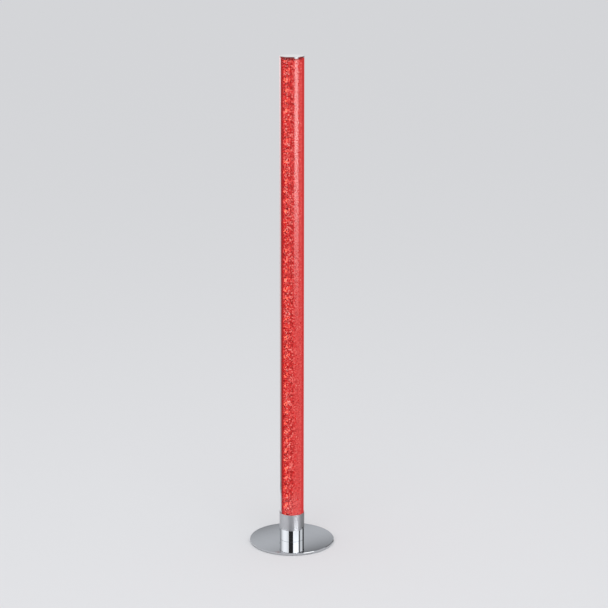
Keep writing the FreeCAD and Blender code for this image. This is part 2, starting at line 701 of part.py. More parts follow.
def controller_board():
    body = new_body("controller_board")
    rod(body, "XY_Plane", CONTROLLER_BOTTOM, "dims.controller_diameter", "dims.controller_thick")
    hole = "dims.board_screw_diameter + 2 * dims.fit_gap"
    screw = drill(body, "XY_Plane", CONTROLLER_BOTTOM, hole, "dims.controller_thick", *BOARD_SCREW_PLACE)
    around(body, [screw], "dims.board_screw_count")


def board_screws():
    body = new_body("board_screws")
    size = "dims.board_screw_diameter", "dims.board_screw_length"
    start = f"{CONTROLLER_TOP} - dims.board_screw_length"
    shank = rod(body, "XY_Plane", start, *size, *BOARD_SCREW_PLACE)
    tall = "dims.board_screw_head_height"
    head = rod(body, "XY_Plane", CONTROLLER_TOP, "dims.board_screw_head", tall, *BOARD_SCREW_PLACE)
    size = "2 * dims.board_screw_head", "dims.board_screw_slot"
    driver = slot(body, "XY_Plane", f"{CONTROLLER_TOP} + {tall} / 2", *size, tall, *BOARD_SCREW_PLACE)
    around(body, [shank, head, driver], "dims.board_screw_count")


def microcontroller():
    body = new_body("microcontroller")
    x, y = shares(CHIP_SHARES)
    bottom = f"{CONTROLLER_TOP} + dims.chip_stand"
    block(body, "XY_Plane", bottom, "dims.chip_width", "dims.chip_length", "dims.chip_height", x, y)
    first = f"{y} - (dims.chip_lead_count - 1) / 2 * dims.chip_lead_pitch"
    wide, tall = "dims.chip_lead_width", "dims.chip_lead_height"
    leads = block(body, "XY_Plane", CONTROLLER_TOP, "dims.chip_lead_span", wide, tall, x, first)
    along(body, [leads], "Y_Axis", "dims.chip_lead_pitch", "dims.chip_lead_count")


def voltage_regulator():
    body = new_body("voltage_regulator")
    x, y = shares(REGULATOR_SHARES)
    size = "dims.regulator_length", "dims.regulator_width", "dims.regulator_height"
    block(body, "XY_Plane", CONTROLLER_TOP, *size, x, y)
    span = "dims.regulator_width + 2 * dims.regulator_tab_reach"
    tab = "dims.regulator_tab_width", span, "dims.regulator_tab_thick"
    block(body, "XY_Plane", CONTROLLER_TOP, *tab, x, y)


def driver_transistors():
    body = new_body("driver_transistors")
    x, y = shares(DRIVER_SHARES)
    size = "dims.driver_length", "dims.driver_width", "dims.driver_height"
    first = block(body, "XY_Plane", CONTROLLER_TOP, *size, x, y)
    along(body, [first], "Y_Axis", "dims.driver_pitch", "dims.driver_count")


def board_resistors():
    body = new_body("board_resistors")
    x, y = shares(RESISTOR_SHARES)
    size = "dims.resistor_length", "dims.resistor_width", "dims.resistor_height"
    first = block(body, "XY_Plane", CONTROLLER_TOP, *size, x, y)
    along(body, [first], "Y_Axis", "dims.resistor_pitch", "dims.resistor_count")


def buffer_capacitor():
    body = new_body("buffer_capacitor")
    x, y = shares(CAPACITOR_SHARES)
    rod(body, "XY_Plane", CONTROLLER_TOP, "dims.capacitor_diameter", "dims.capacitor_height", x, y)
    sketch = add_sketch(body, "XY_Plane", f"{CONTROLLER_TOP} + dims.capacitor_groove_height")
    add_circle(sketch, "dims.capacitor_diameter + dims.cut_overrun", x, y)
    add_circle(sketch, "dims.capacitor_diameter - 2 * dims.capacitor_groove", x, y)
    pocket(body, sketch, "dims.capacitor_groove_width")


def supply_terminal():
    body = new_body("supply_terminal")
    x, y = shares(TERMINAL_SHARES)
    size = "dims.terminal_length", "dims.terminal_width", "dims.terminal_height"
    block(body, "XY_Plane", CONTROLLER_TOP, *size, x, y)
    side = f"-({y} + dims.terminal_width / 2)"
    entry_z = f"{CONTROLLER_TOP} + dims.terminal_entry_height"
    top = f"{CONTROLLER_TOP} + dims.terminal_height - dims.terminal_screw / 2"
    for half in ("- dims.terminal_pitch / 2", "+ dims.terminal_pitch / 2"):
        spot = f"{x} {half}"
        drill(body, "XZ_Plane", side, "dims.terminal_entry", "dims.terminal_entry_depth", spot, entry_z)
        drill(body, "XY_Plane", top, "dims.terminal_screw", "dims.terminal_screw", spot, y)


def led_connector():
    body = new_body("led_connector")
    x, y = shares(CONNECTOR_SHARES)
    length, width = "dims.connector_length", "dims.connector_width"
    block(body, "XY_Plane", CONTROLLER_TOP, length, width, "dims.connector_height", x, y)
    floor = f"{CONTROLLER_TOP} + dims.connector_wall"
    inside = [f"{size} - 2 * dims.connector_wall" for size in (length, width)]
    slot(body, "XY_Plane", floor, *inside, "dims.connector_height", x, y)


def led_plug():
    body = new_body("led_plug")
    x, y = shares(CONNECTOR_SHARES)
    floor = f"{CONTROLLER_TOP} + dims.connector_wall"
    walls = "2 * dims.connector_wall + 2 * dims.fit_gap"
    tall = "dims.connector_height - dims.connector_wall + dims.plug_stand"
    length, width = f"dims.connector_length - ({walls})", f"dims.connector_width - ({walls})"
    block(body, "XY_Plane", floor, length, width, tall, x, y)


def led_harness():
    x, y = shares(CONNECTOR_SHARES)
    plug_top = f"{CONTROLLER_TOP} + dims.connector_height + dims.plug_stand"
    board_y = f"{LED_BOARD_FACE} - dims.wire_diameter / 2"
    routes = []
    for index in range(int(value("dims.wire_count"))):
        step = f"({index} - (dims.wire_count - 1) / 2)"
        plug_x, board_x = f"{x} + {step} * dims.wire_pitch", f"{step} * dims.solder_pitch"
        low = f"{LED_BOARD_BOTTOM} - dims.wire_rise"
        route = [
            point(plug_x, y, plug_top),
            point(plug_x, y, f"{plug_top} + dims.wire_rise"),
            point(board_x, board_y, low),
            point(board_x, board_y, f"{LED_BOARD_BOTTOM} + dims.solder_length"),
        ]
        routes.append(route)
    wires("led_harness", routes, "dims.wire_diameter")


def supply_leads():
    x, y = shares(TERMINAL_SHARES)
    entry_y = f"{y} + dims.terminal_width / 2"
    entry_z = f"{CONTROLLER_TOP} + dims.terminal_entry_height"
    ends = [(INLET_Z, "- dims.terminal_pitch / 2"), (INLET_STRIP_Z, "+ dims.terminal_pitch / 2")]
    routes = []
    for tail_z, half in ends:
        route = [
            point("0", INLET_TAIL_END, tail_z),
            point("0", f"{INLET_TAIL_END} - dims.supply_run", tail_z),
            point(f"{x} {half}", f"{entry_y} + dims.supply_run", entry_z),
            point(f"{x} {half}", entry_y, entry_z),
        ]
        routes.append(route)
    wires("supply_leads", routes, "dims.supply_wire")


# Joint of foot and column


def collar():
    body = new_body("collar")
    sketch = add_sketch(body, "XY_Plane", CUP_TOP)
    add_circle(sketch, COLLAR_DIAMETER)
    add_circle(sketch, COLLAR_BORE)
    pad(body, sketch, "dims.collar_height")
    dress(
        body,
        "Chamfer",
        "dims.collar_bevel",
        (COLLAR_DIAMETER, CUP_TOP),
        (COLLAR_DIAMETER, COLLAR_TOP),
    )
    hole = "dims.set_screw_diameter + 2 * dims.fit_gap"
    start = f"-({COLLAR_DIAMETER} / 2 + dims.cut_overrun)"
    length = f"{COLLAR_DIAMETER} / 2"
    lock = drill(body, "XZ_Plane", start, hole, length, "0", SET_SCREW_Z)
    around(body, [lock], "dims.set_screw_count")


def set_screws():
    body = new_body("set_screws")
    length = f"{SET_SCREW_FACE} - {SET_SCREW_POINT}"
    shank = rod(body, "XZ_Plane", f"-{SET_SCREW_FACE}", "dims.set_screw_diameter", length, "0", SET_SCREW_Z)
    sketch = add_sketch(body, "XZ_Plane", f"-{SET_SCREW_FACE}")
    add_hexagon(sketch, "dims.set_screw_key", "0", SET_SCREW_Z)
    socket = pocket(body, sketch, "dims.set_screw_key_depth")
    around(body, [shank, socket], "dims.set_screw_count")


def port_sides():
    """The X of both screw ports."""
    return ("-dims.port_spread / 2", "dims.port_spread / 2")


def lower_holder():
    body = new_body("lower_holder")
    plug, inside = f"{HOLDER_PLUG_DIAMETER} / 2", f"{HOLDER_PLUG_DIAMETER} / 2 - dims.holder_wall"
    flange, opening = "dims.column_diameter / 2", "dims.column_diameter / 2 - dims.holder_flange_width"
    plug_bottom = f"{NECK_TOP} - dims.holder_plug"
    corners = [
        (inside, plug_bottom),
        (plug, plug_bottom),
        (plug, NECK_TOP),
        (flange, NECK_TOP),
        (flange, COLUMN_BOTTOM),
        (opening, COLUMN_BOTTOM),
        (opening, NECK_TOP),
        (inside, NECK_TOP),
    ]
    revolve(body, corners)
    sketch = add_sketch(body, "XY_Plane", COLUMN_BOTTOM)
    add_circle(sketch, RIM_DIAMETER)
    add_circle(sketch, f"{RIM_DIAMETER} - 2 * dims.holder_rim_wall")
    pad(body, sketch, "dims.holder_rim_height")
    cut_rim(body, COLUMN_BOTTOM)
    for x in port_sides():
        drill(body, "XY_Plane", plug_bottom, END_SCREW_WELL, "dims.holder_plug", x, PORT_Y)
        drill(body, "XY_Plane", NECK_TOP, END_SCREW_HOLE, "dims.holder_flange", x, PORT_Y)
        screw_cone(body, "SubtractiveCone", END_SCREW_WELL, END_SCREW_HOLE, NECK_TOP, x, PORT_Y)
    entry = "dims.set_screw_diameter + 2 * dims.fit_gap"
    start = f"-({HOLDER_PLUG_DIAMETER} / 2 + dims.cut_overrun)"
    depth = "dims.set_screw_entry + dims.fit_gap + dims.cut_overrun"
    point_hole = drill(body, "XZ_Plane", start, entry, depth, "0", SET_SCREW_Z)
    around(body, [point_hole], "dims.set_screw_count")


def cut_rim(body, bottom):
    """Ends a holder's rim where the shell's web and rails begin."""
    depth = f"({RIM_DIAMETER} / 2)"
    y = f"dims.holder_rim_cut + {depth} / 2"
    slot(body, "XY_Plane", bottom, RIM_DIAMETER, depth, "dims.holder_rim_height", "0", y)


def end_screws(label, face, down):
    """Two countersunk self tapping screws in the shell's ports, from below or from above."""
    body = new_body(label)
    cone = "dims.end_screw_head", "dims.end_screw_diameter"
    length, depth = "dims.end_screw_length", "dims.end_screw_cross_depth"
    arms = "dims.end_screw_cross", "dims.end_screw_cross_width"
    for x in port_sides():
        start = f"{face} - {length}" if down else face
        rod(body, "XY_Plane", start, "dims.end_screw_diameter", length, x, PORT_Y)
        screw_cone(body, "AdditiveCone", *cone, face, x, PORT_Y, down)
        start = f"{face} - {depth}" if down else face
        slot(body, "XY_Plane", start, *arms, depth, x, PORT_Y)
        slot(body, "XY_Plane", start, *reversed(arms), depth, x, PORT_Y)


# Column


def back_shell():
    start, sweep = "90 - dims.shell_half_angle", "2 * dims.shell_half_angle"
    span = COLUMN_BOTTOM, COLUMN_LENGTH
    wall = curved_wall("shell_wall", "dims.column_diameter", SHELL_BORE, start, sweep, *span)
    web_box = box(
        "shell_web_box",
        "-dims.column_diameter / 2",
        WEB_FACE,
        COLUMN_BOTTOM,
        "dims.column_diameter",
        "dims.web_thick",
        COLUMN_LENGTH,
    )
    inside = cylinder("shell_inside", f"{SHELL_BORE} + dims.shell_wall", *span)
    pieces = [wall, common("shell_web", web_box, inside)]
    for name, x in (("left", "-dims.rail_spread / 2"), ("right", "dims.rail_spread / 2 - dims.rail_thick")):
        y = f"{WEB_FACE} - dims.rail_depth"
        depth = "dims.rail_depth + dims.web_thick / 2"
        pieces.append(box(f"shell_rail_{name}", x, y, COLUMN_BOTTOM, "dims.rail_thick", depth, COLUMN_LENGTH))
    port = f"{PORT_HOLE} + 2 * dims.port_wall"
    for name, x in zip(("left", "right"), port_sides()):
        pieces.append(cylinder(f"shell_port_{name}", port, *span, x, PORT_Y))
    shell = fuse("shell_solid", *pieces)
    long = f"{COLUMN_LENGTH} + 2 * dims.cut_overrun"
    start = f"{COLUMN_BOTTOM} - dims.cut_overrun"
    for name, x in zip(("left", "right"), port_sides()):
        hole = cylinder(f"shell_hole_{name}", PORT_HOLE, start, long, x, PORT_Y)
        shell = cut(f"shell_drilled_{name}", shell, hole)
    finish(shell, "back_shell")


def front_cover():
    edge = "(dims.shell_half_angle + dims.cover_gap_angle)"
    span = COLUMN_BOTTOM, COLUMN_LENGTH
    start, sweep = f"90 + {edge}", f"360 - 2 * {edge}"
    pieces = [curved_wall("cover_wall", "dims.column_diameter", COVER_BORE, start, sweep, *span)]
    outer, inner = TONGUE_DIAMETER, f"{TONGUE_DIAMETER} - 2 * dims.tongue_thick"
    width = f"(dims.shell_half_angle + dims.tongue_root_angle - {TONGUE_END})"
    for name, turn in (("left", f"90 + {TONGUE_END}"), ("right", f"90 - {TONGUE_END} - {width}")):
        pieces.append(curved_wall(f"cover_tongue_{name}", outer, inner, turn, width, *span))
        root = "dims.tongue_root_angle - dims.cover_gap_angle"
        turn = f"90 + {edge}" if name == "left" else f"90 - {edge} - ({root})"
        ring = f"{COVER_BORE} + dims.tongue_gap", f"{TONGUE_DIAMETER} - dims.tongue_gap"
        pieces.append(curved_wall(f"cover_root_{name}", *ring, turn, root, *span))
    finish(fuse("front_cover_solid", *pieces), "front_cover")


def crystal_film():
    edge = "(dims.shell_half_angle + dims.film_edge_angle)"
    span = COLUMN_BOTTOM, f"{COLUMN_LENGTH} - dims.film_end_gap"
    film = curved_wall("film_wall", FILM_DIAMETER, FILM_BORE, f"90 + {edge}", f"360 - 2 * {edge}", *span)
    finish(film, "crystal_film")


# LEDs

BOARDS = {
    "lower": LED_BOARD_BOTTOM,
    "upper": f"({LED_BOARD_BOTTOM} + {LED_BOARD_LENGTH})",
}


def led_strip(part, bottom):
    """A board with its tape, LEDs and resistors, standing on the shell's web."""
    length = f"({LED_BOARD_LENGTH} - dims.led_board_joint)"
    middle = f"{bottom} + {length} / 2"
    margin = "2 * dims.led_tape_margin"
    body = new_body(f"led_tape_{part}")
    size = f"dims.led_board_width - {margin}", f"{length} - {margin}", "dims.led_tape_thick"
    block(body, "XZ_Plane", f"-{WEB_FACE}", *size, "0", middle)
    body = new_body(f"led_board_{part}")
    size = "dims.led_board_width", length, "dims.led_board_thick"
    block(body, "XZ_Plane", f"-{LED_TAPE_FACE}", *size, "0", middle)
    body = new_body(f"rgb_leds_{part}")
    first = f"{bottom} + dims.led_pitch / 2"
    size = "dims.led_width", "dims.led_width", "dims.led_height"
    package = block(body, "XZ_Plane", f"-{LED_BOARD_FACE}", *size, "0", first)
    window = f"-({LED_BOARD_FACE} - dims.led_height + dims.led_lens_depth)"
    lens = drill(body, "XZ_Plane", window, "dims.led_lens", "dims.led_height", "0", first)
    along(body, [package, lens], "Z_Axis", "dims.led_pitch", LEDS_PER_BOARD)
    body = new_body(f"led_resistors_{part}")
    size = "dims.resistor_length", "dims.resistor_width", "dims.resistor_height"
    chip = block(body, "XZ_Plane", f"-{LED_BOARD_FACE}", *size, "0", f"{first} + dims.led_resistor_offset")
    along(body, [chip], "Z_Axis", "dims.led_pitch", LEDS_PER_BOARD)


def board_link():
    body = new_body("board_link")
    joint = f"({BOARDS['upper']} - dims.led_board_joint / 2)"
    y = f"{LED_BOARD_FACE} - dims.link_diameter / 2"
    x = "-(dims.wire_count - 1) / 2 * dims.link_pitch"
    start = f"{joint} - dims.link_length / 2"
    first = rod(body, "XY_Plane", start, "dims.link_diameter", "dims.link_length", x, y)
    along(body, [first], "X_Axis", "dims.link_pitch", "dims.wire_count")


def remote_receiver():
    body = new_body("remote_receiver")
    z = f"{LED_BOARD_BOTTOM} + dims.led_pitch / 2 + dims.receiver_offset"
    size = "dims.receiver_width", "dims.receiver_width", "dims.receiver_depth"
    block(body, "XZ_Plane", f"-{LED_BOARD_FACE}", *size, "0", z)
    front = f"-({LED_BOARD_FACE} - dims.receiver_depth)"
    rod(body, "XZ_Plane", front, "dims.receiver_dome", "dims.receiver_dome_depth", "0", z)


# Top


def upper_holder():
    body = new_body("upper_holder")
    flange = f"{CAP_BORE} - 2 * dims.fit_gap"
    rod(body, "XY_Plane", COLUMN_TOP, flange, "dims.top_flange")
    bottom = f"({COLUMN_TOP} - dims.holder_rim_height)"
    sketch = add_sketch(body, "XY_Plane", bottom)
    add_circle(sketch, RIM_DIAMETER)
    add_circle(sketch, f"{RIM_DIAMETER} - 2 * dims.holder_rim_wall")
    pad(body, sketch, "dims.holder_rim_height")
    cut_rim(body, bottom)
    for x in port_sides():
        drill(body, "XY_Plane", COLUMN_TOP, END_SCREW_HOLE, "dims.top_flange", x, PORT_Y)
        screw_cone(body, "SubtractiveCone", END_SCREW_WELL, END_SCREW_HOLE, FLANGE_TOP, x, PORT_Y, down=True)


def cap_tape():
    body = new_body("cap_tape")
    rod(body, "XY_Plane", FLANGE_TOP, f"{CAP_BORE} - 2 * dims.cap_tape_margin", "dims.cap_tape_thick")


def top_cap():
    body = new_body("top_cap")
    outside, inside = "dims.column_diameter / 2", f"{CAP_BORE} / 2"
    corners = [
        ("0", "dims.total_height"),
        ("0", CAP_CEILING),
        (inside, CAP_CEILING),
        (inside, COLUMN_TOP),
        (outside, COLUMN_TOP),
        (outside, "dims.total_height"),
    ]
    revolve(body, corners)
    dress(body, "Fillet", "dims.cap_round", ("dims.column_diameter", "dims.total_height"))


# Everything in the order in which it is put together

floor_pad()
base_plate()
base_screws()
socket_cup()
nut_plate()
dc_jack()
board_spacers()
controller_board()
board_screws()
microcontroller()
voltage_regulator()
driver_transistors()
board_resistors()
buffer_capacitor()
supply_terminal()
led_connector()
led_plug()
led_harness()
supply_leads()
collar()
set_screws()
lower_holder()
end_screws("lower_holder_screws", NECK_TOP, down=False)
back_shell()
front_cover()
crystal_film()
for part, bottom in BOARDS.items():
    led_strip(part, bottom)
board_link()
remote_receiver()
upper_holder()
end_screws("upper_holder_screws", FLANGE_TOP, down=True)
cap_tape()
top_cap()
doc.recompute()

for item in doc.Objects:
    if {"Invalid", "Error"} & set(item.State):
        raise RuntimeError(f"{item.Label} failed: {item.State}")
for node in nodes:
    if node.Shape.isNull() or not node.Shape.isValid():
        raise RuntimeError(f"{node.Label} has no sound shape")

os.makedirs("parts", exist_ok=True)
for node in nodes:
    node.Shape.exportStep(f"parts/{node.Label}.step")
    print(node.Label, len(node.Shape.Solids), f"{node.Shape.Volume:.1f}")
print(len(nodes), "sub-parts")
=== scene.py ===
import math

import bmesh
import bpy
from bpy.props import FloatProperty, FloatVectorProperty, IntProperty, PointerProperty
from mathutils import Matrix, Vector, noise


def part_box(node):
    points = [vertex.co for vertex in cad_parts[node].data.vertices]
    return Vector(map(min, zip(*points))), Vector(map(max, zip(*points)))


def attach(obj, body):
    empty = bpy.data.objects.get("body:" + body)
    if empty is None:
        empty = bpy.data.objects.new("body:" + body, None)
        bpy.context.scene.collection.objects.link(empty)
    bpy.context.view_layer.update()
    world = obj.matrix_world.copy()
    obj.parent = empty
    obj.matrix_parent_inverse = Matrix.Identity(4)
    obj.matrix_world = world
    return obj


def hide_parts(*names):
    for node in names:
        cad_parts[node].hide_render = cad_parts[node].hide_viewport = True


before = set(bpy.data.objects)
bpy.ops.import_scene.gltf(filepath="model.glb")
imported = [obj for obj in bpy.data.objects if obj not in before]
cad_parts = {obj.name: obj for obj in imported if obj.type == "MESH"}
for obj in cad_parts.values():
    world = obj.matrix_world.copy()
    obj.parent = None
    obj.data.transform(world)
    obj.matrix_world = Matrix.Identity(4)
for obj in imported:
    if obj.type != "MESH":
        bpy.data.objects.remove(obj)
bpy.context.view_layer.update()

bl_info = {
    "name": "Light column",
    "version": (1, 0, 0),
    "blender": (4, 5, 0),
    "location": "3D View > Sidebar > Lamp",
    "description": "Dresses the floor lamp's metal, acrylic, film and electronics, and sets up its studio",
    "category": "Object",
}

COLUMN_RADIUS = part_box("front_cover")[1].x
FILM_LOW, FILM_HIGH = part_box("crystal_film")
LED_LOW, LED_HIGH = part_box("rgb_leds_lower")
LED_SIZE = LED_HIGH.x - LED_LOW.x
FIRST_LED = LED_LOW.z + LED_SIZE / 2
LEDS_PER_BOARD = 23
MM = 0.001
WHITE = (1, 1, 1, 1)
# Sockets of the node that mixes colours: the colour at a share of 0, the colour at 1, and what comes out
LOW, HIGH, MIXED = 6, 7, 2
# Refractive index of acrylic, and the most light that the cover mirrors
ACRYLIC_IOR = 1.49
COVER_GLOSS = 0.04
# The crackle's facets are 2.6 mm across, in groups of 7 mm
FACETS_PER_METRE = 380.0
GROUPS_PER_METRE = 143.0
# Counted from the column's axis towards its back, the film looks even in front as far as the first of these,
# sparkles fully from the second, and has lost its light at the third
FILM_EVEN, FILM_SPARKLES, FILM_DARK = -22 * MM, -2 * MM, 9.5 * MM
# Where the light on the LED boards starts to fall round an LED, and where it ends
HALO_START, HALO_END = 1 * MM, 9.5 * MM


def linear(code):
    """A colour written as sRGB hex, as linear red, green and blue."""
    channels = [int(code[i : i + 2], 16) / 255 for i in (0, 2, 4)]
    return tuple(c / 12.92 if c <= 0.04045 else ((c + 0.055) / 1.055) ** 2.4 for c in channels)


def colour(name, code, description):
    """A colour setting, given as sRGB hex."""
    return FloatVectorProperty(
        name=name, description=description, subtype="COLOR", size=3, min=0, max=1, default=linear(code)
    )


def length(name, default, description):
    """A length setting in metres."""
    return FloatProperty(name=name, description=description, unit="LENGTH", subtype="DISTANCE", default=default)


def angle(name, degrees, description):
    """An angle setting, given in degrees."""
    return FloatProperty(
        name=name, description=description, unit="ROTATION", subtype="ANGLE", default=math.radians(degrees)
    )


class LampSizes(bpy.types.PropertyGroup):
    film_radius: length("Film radius", FILM_HIGH.x - 0.25 * MM, "Middle of the crackle film to the column's axis")
    film_thick: length("Film thickness", 0.3 * MM, "Wall of the crackle film")
    film_half_angle: angle("Film half angle", 113.5, "Front of the column to an edge of the film")
    facet: length("Facet", 2.7 * MM, "Width of a facet of the crackle")
    crinkle: length("Crinkle", 0.22 * MM, "How far a facet's corner leaves the film's cylinder")
    led_pitch: length(
        "LED pitch", (LED_HIGH.z - LED_LOW.z - LED_SIZE) / (LEDS_PER_BOARD - 1), "Spacing of the LEDs"
    )
    led_window: length("LED lens", 3.9 * MM, "Diameter of an LED's clear lens")
    led_count: IntProperty(name="LEDs", description="LEDs on both boards", default=2 * LEDS_PER_BOARD)


class LampColours(bpy.types.PropertyGroup):
    glow: colour("Glow", "E65452", "Light of the film in front, without the sheen of the cover")
    glow_side: colour("Glow at the sides", "E8181A", "Light of the film at the sides, between the LEDs")
    glow_dark: colour("Dark facets", "A0080C", "Facets that throw their light elsewhere")
    glow_bright: colour("Bright facets", "FFA49A", "Facets that throw an LED's light at the eye")
    wall_light: colour("Light in the cover", "BC1E1E", "Red light that runs inside the cover's wall")
    led: colour("LED", "FF6A50", "Light of an LED's window")
    led_halo: colour("LED halo", "FF8064", "Light on board and extrusion round an LED")
    chrome: colour("Chrome", "CACCCF", "Plating on plate, cup and cap")
    satin: colour("Satin steel", "CCCDD1", "Brushed collar")
    aluminium: colour("Aluminium", "E6E7E9", "Polished extrusion")
    zinc: colour("Zinc", "A9ACAF", "Plated screws and disc")
    black_oxide: colour("Black oxide", "26262A", "Set screws")
    nickel: colour("Nickel", "BDB8AC", "Plated brass")
    brass: colour("Brass", "C9A95E", "Contacts")
    foam: colour("Foam", "1C1C1E", "Pads and tape")
    mask_white: colour("White board", "E6E6E0", "Solder mask of the LED boards")
    mask_green: colour("Green board", "14522E", "Solder mask of the controller board")
    resin: colour("Black resin", "18181A", "Chip packages")
    sleeve: colour("Capacitor sleeve", "1E2A4A", "Shrink sleeve")
    terminal: colour("Terminal", "1F6B3C", "Moulded terminal")
    nylon: colour("Nylon", "E8E2D2", "Connector housings")
    holder: colour("Holder", "2B2A2C", "Moulded holders")
    wire: colour("Wire", "A01A16", "Wire insulation")
    floor: colour("Floor", "DCDDE0", "Studio floor")
    backdrop: colour("Backdrop", "CFD1D5", "What camera and mirrors see behind everything")


class LampStudio(bpy.types.PropertyGroup):
    azimuth: angle("Camera azimuth", -60, "Turn of the camera round the lamp")
    distance: length("Camera distance", 4.0002, "Level distance to the column's axis")
    height: length("Camera height", 1.5849, "Above the floor")
    pitch: angle("Camera pitch", 14.07, "Looks down by this much")
    lens: FloatProperty(name="Lens", description="Focal length", unit="CAMERA", default=105.47)
    shift: FloatProperty(name="Shift", description="Lamp left of the middle, in picture widths", default=0.0199)
    ambient: FloatProperty(name="Ambient", description="Even light from all round", default=0.92)
    key: FloatProperty(name="Key", description="Power of the large lamp overhead", unit="POWER", default=20)
    key_size: length("Key size", 2.2, "Diameter of the large lamp overhead")
    key_height: length("Key height", 3.2, "Height of the large lamp overhead")


def node(tree, kind, inputs=None, **settings):
    """Adds a shader node. Inputs maps a socket to a value or to the output that feeds it."""
    made = tree.nodes.new(kind)
    for name, setting in settings.items():
        setattr(made, name, setting)
    for socket, source in (inputs or {}).items():
        if isinstance(source, bpy.types.NodeSocket):
            tree.links.new(source, made.inputs[socket])
        else:
            made.inputs[socket].default_value = source
    return made


def new_material(name):
    """An empty node material."""
    material = bpy.data.materials.new(name)
    material.use_nodes = True
    material.node_tree.nodes.clear()
    return material, material.node_tree


def dress(material, *names):
    """Puts a material on CAD nodes."""
    for name in names:
        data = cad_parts[name].data
        data.materials.clear()
        data.materials.append(material)


def rgba(value):
    """A colour with full alpha, as colour sockets take it."""
    return (*value, 1)


def dimmed(shade, share):
    """A share of a colour's light."""
    return [channel * share for channel in shade]


def axis_distance(tree, place):
    """How far a point lies from the column's axis."""
    level = node(tree, "ShaderNodeMapping", {"Vector": place, "Scale": (1, 1, 0)})
    return node(tree, "ShaderNodeVectorMath", {0: level.outputs[0]}, operation="LENGTH").outputs["Value"]


def finished_mesh(mesh, name, material):
    """Turns a built mesh into mesh data with its material, and frees it."""
    data = bpy.data.meshes.new(name)
    mesh.to_mesh(data)
    mesh.free()
    data.materials.append(material)
    return data


def new_object(name, data):
    """Puts an object at the origin of the scene."""
    made = bpy.data.objects.new(name, data)
    bpy.context.scene.collection.objects.link(made)
    return made


def new_piece(name, mesh, material):
    """A piece of the lamp that the CAD model doesn't have, from a built mesh."""
    piece = new_object(name, finished_mesh(mesh, name, material))
    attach(piece, "root")
    return piece


# Finishes


def chrome_plating(name, shade):
    """Bright chrome over polished steel: a mirror, faintly dulled where it is wiped."""
    material, tree = new_material(name)
    place = node(tree, "ShaderNodeTexCoord").outputs["Object"]
    # Wiping leaves streaks some 45 mm long and 17 mm wide
    wipe = node(tree, "ShaderNodeMapping", {"Vector": place, "Scale": (60, 22, 60)})
    streaks = node(tree, "ShaderNodeTexNoise", {"Vector": wipe.outputs[0], "Scale": 1.0, "Detail": 5.0})
    dull = node(tree, "ShaderNodeMapRange", {"Value": streaks.outputs[0], "From Min": 0.4, "From Max": 0.75,
                                             "To Min": 0.018, "To Max": 0.05})
    shader = node(tree, "ShaderNodeBsdfPrincipled", {"Base Color": rgba(shade), "Metallic": 1.0,
                                                     "Roughness": dull.outputs[0]})
    node(tree, "ShaderNodeOutputMaterial", {"Surface": shader.outputs[0]})
    return material


def brushed_steel_collar(shade):
    """Stainless tube brushed round its girth: soft upright bands of light, crossed by fine rings."""
    material, tree = new_material("brushed_stainless_collar")
    place = node(tree, "ShaderNodeTexCoord").outputs["Object"]
    # Brush lines are 0.05 mm apart, drawn 0.5 mm apart so that they show
    rings = node(tree, "ShaderNodeMapping", {"Vector": place, "Scale": (18, 18, 2000)})
    lines = node(tree, "ShaderNodeTexNoise", {"Vector": rings.outputs[0], "Scale": 1.0, "Detail": 3.0})
    rough = node(tree, "ShaderNodeMapRange", {"Value": lines.outputs[0], "To Min": 0.3, "To Max": 0.4})
    bump = node(tree, "ShaderNodeBump", {"Height": lines.outputs[0], "Strength": 0.04, "Distance": 0.0001})
    tangent = node(tree, "ShaderNodeTangent", direction_type="RADIAL", axis="Z")
    shader = node(tree, "ShaderNodeBsdfPrincipled", {
        "Base Color": rgba(shade), "Metallic": 1.0, "Roughness": rough.outputs[0], "Anisotropic": 0.9,
        "Anisotropic Rotation": 0.25, "Tangent": tangent.outputs[0], "Normal": bump.outputs[0],
    })
    node(tree, "ShaderNodeOutputMaterial", {"Surface": shader.outputs[0]})
    return material


def polished_extrusion(colours, pitch, inner_radius):
    """
    Aluminium pushed through a die and polished: bright, with long faint die lines. Within the inner radius it is
    lit by the LEDs.
    """
    material, tree = new_material("polished_aluminium_extrusion")
    place = node(tree, "ShaderNodeTexCoord").outputs["Object"]
    # Die lines are 0.3 mm apart and 250 mm long
    die = node(tree, "ShaderNodeMapping", {"Vector": place, "Scale": (3000, 3000, 4)})
    lines = node(tree, "ShaderNodeTexNoise", {"Vector": die.outputs[0], "Scale": 1.0, "Detail": 2.0})
    rough = node(tree, "ShaderNodeMapRange", {"Value": lines.outputs[0], "To Min": 0.14, "To Max": 0.3})
    bump = node(tree, "ShaderNodeBump", {"Height": lines.outputs[0], "Strength": 0.08, "Distance": 0.0001})
    radius = axis_distance(tree, place)
    inside = node(tree, "ShaderNodeMath", {0: radius, 1: inner_radius}, operation="LESS_THAN")
    light, power = led_light(tree, place, colours, pitch)
    lit = node(tree, "ShaderNodeMath", {0: inside.outputs[0], 1: power}, operation="MULTIPLY")
    shader = node(tree, "ShaderNodeBsdfPrincipled", {
        "Base Color": rgba(colours.aluminium), "Metallic": 1.0, "Roughness": rough.outputs[0],
        "Normal": bump.outputs[0], "Emission Color": light, "Emission Strength": lit.outputs[0],
    })
    node(tree, "ShaderNodeOutputMaterial", {"Surface": shader.outputs[0]})
    return material


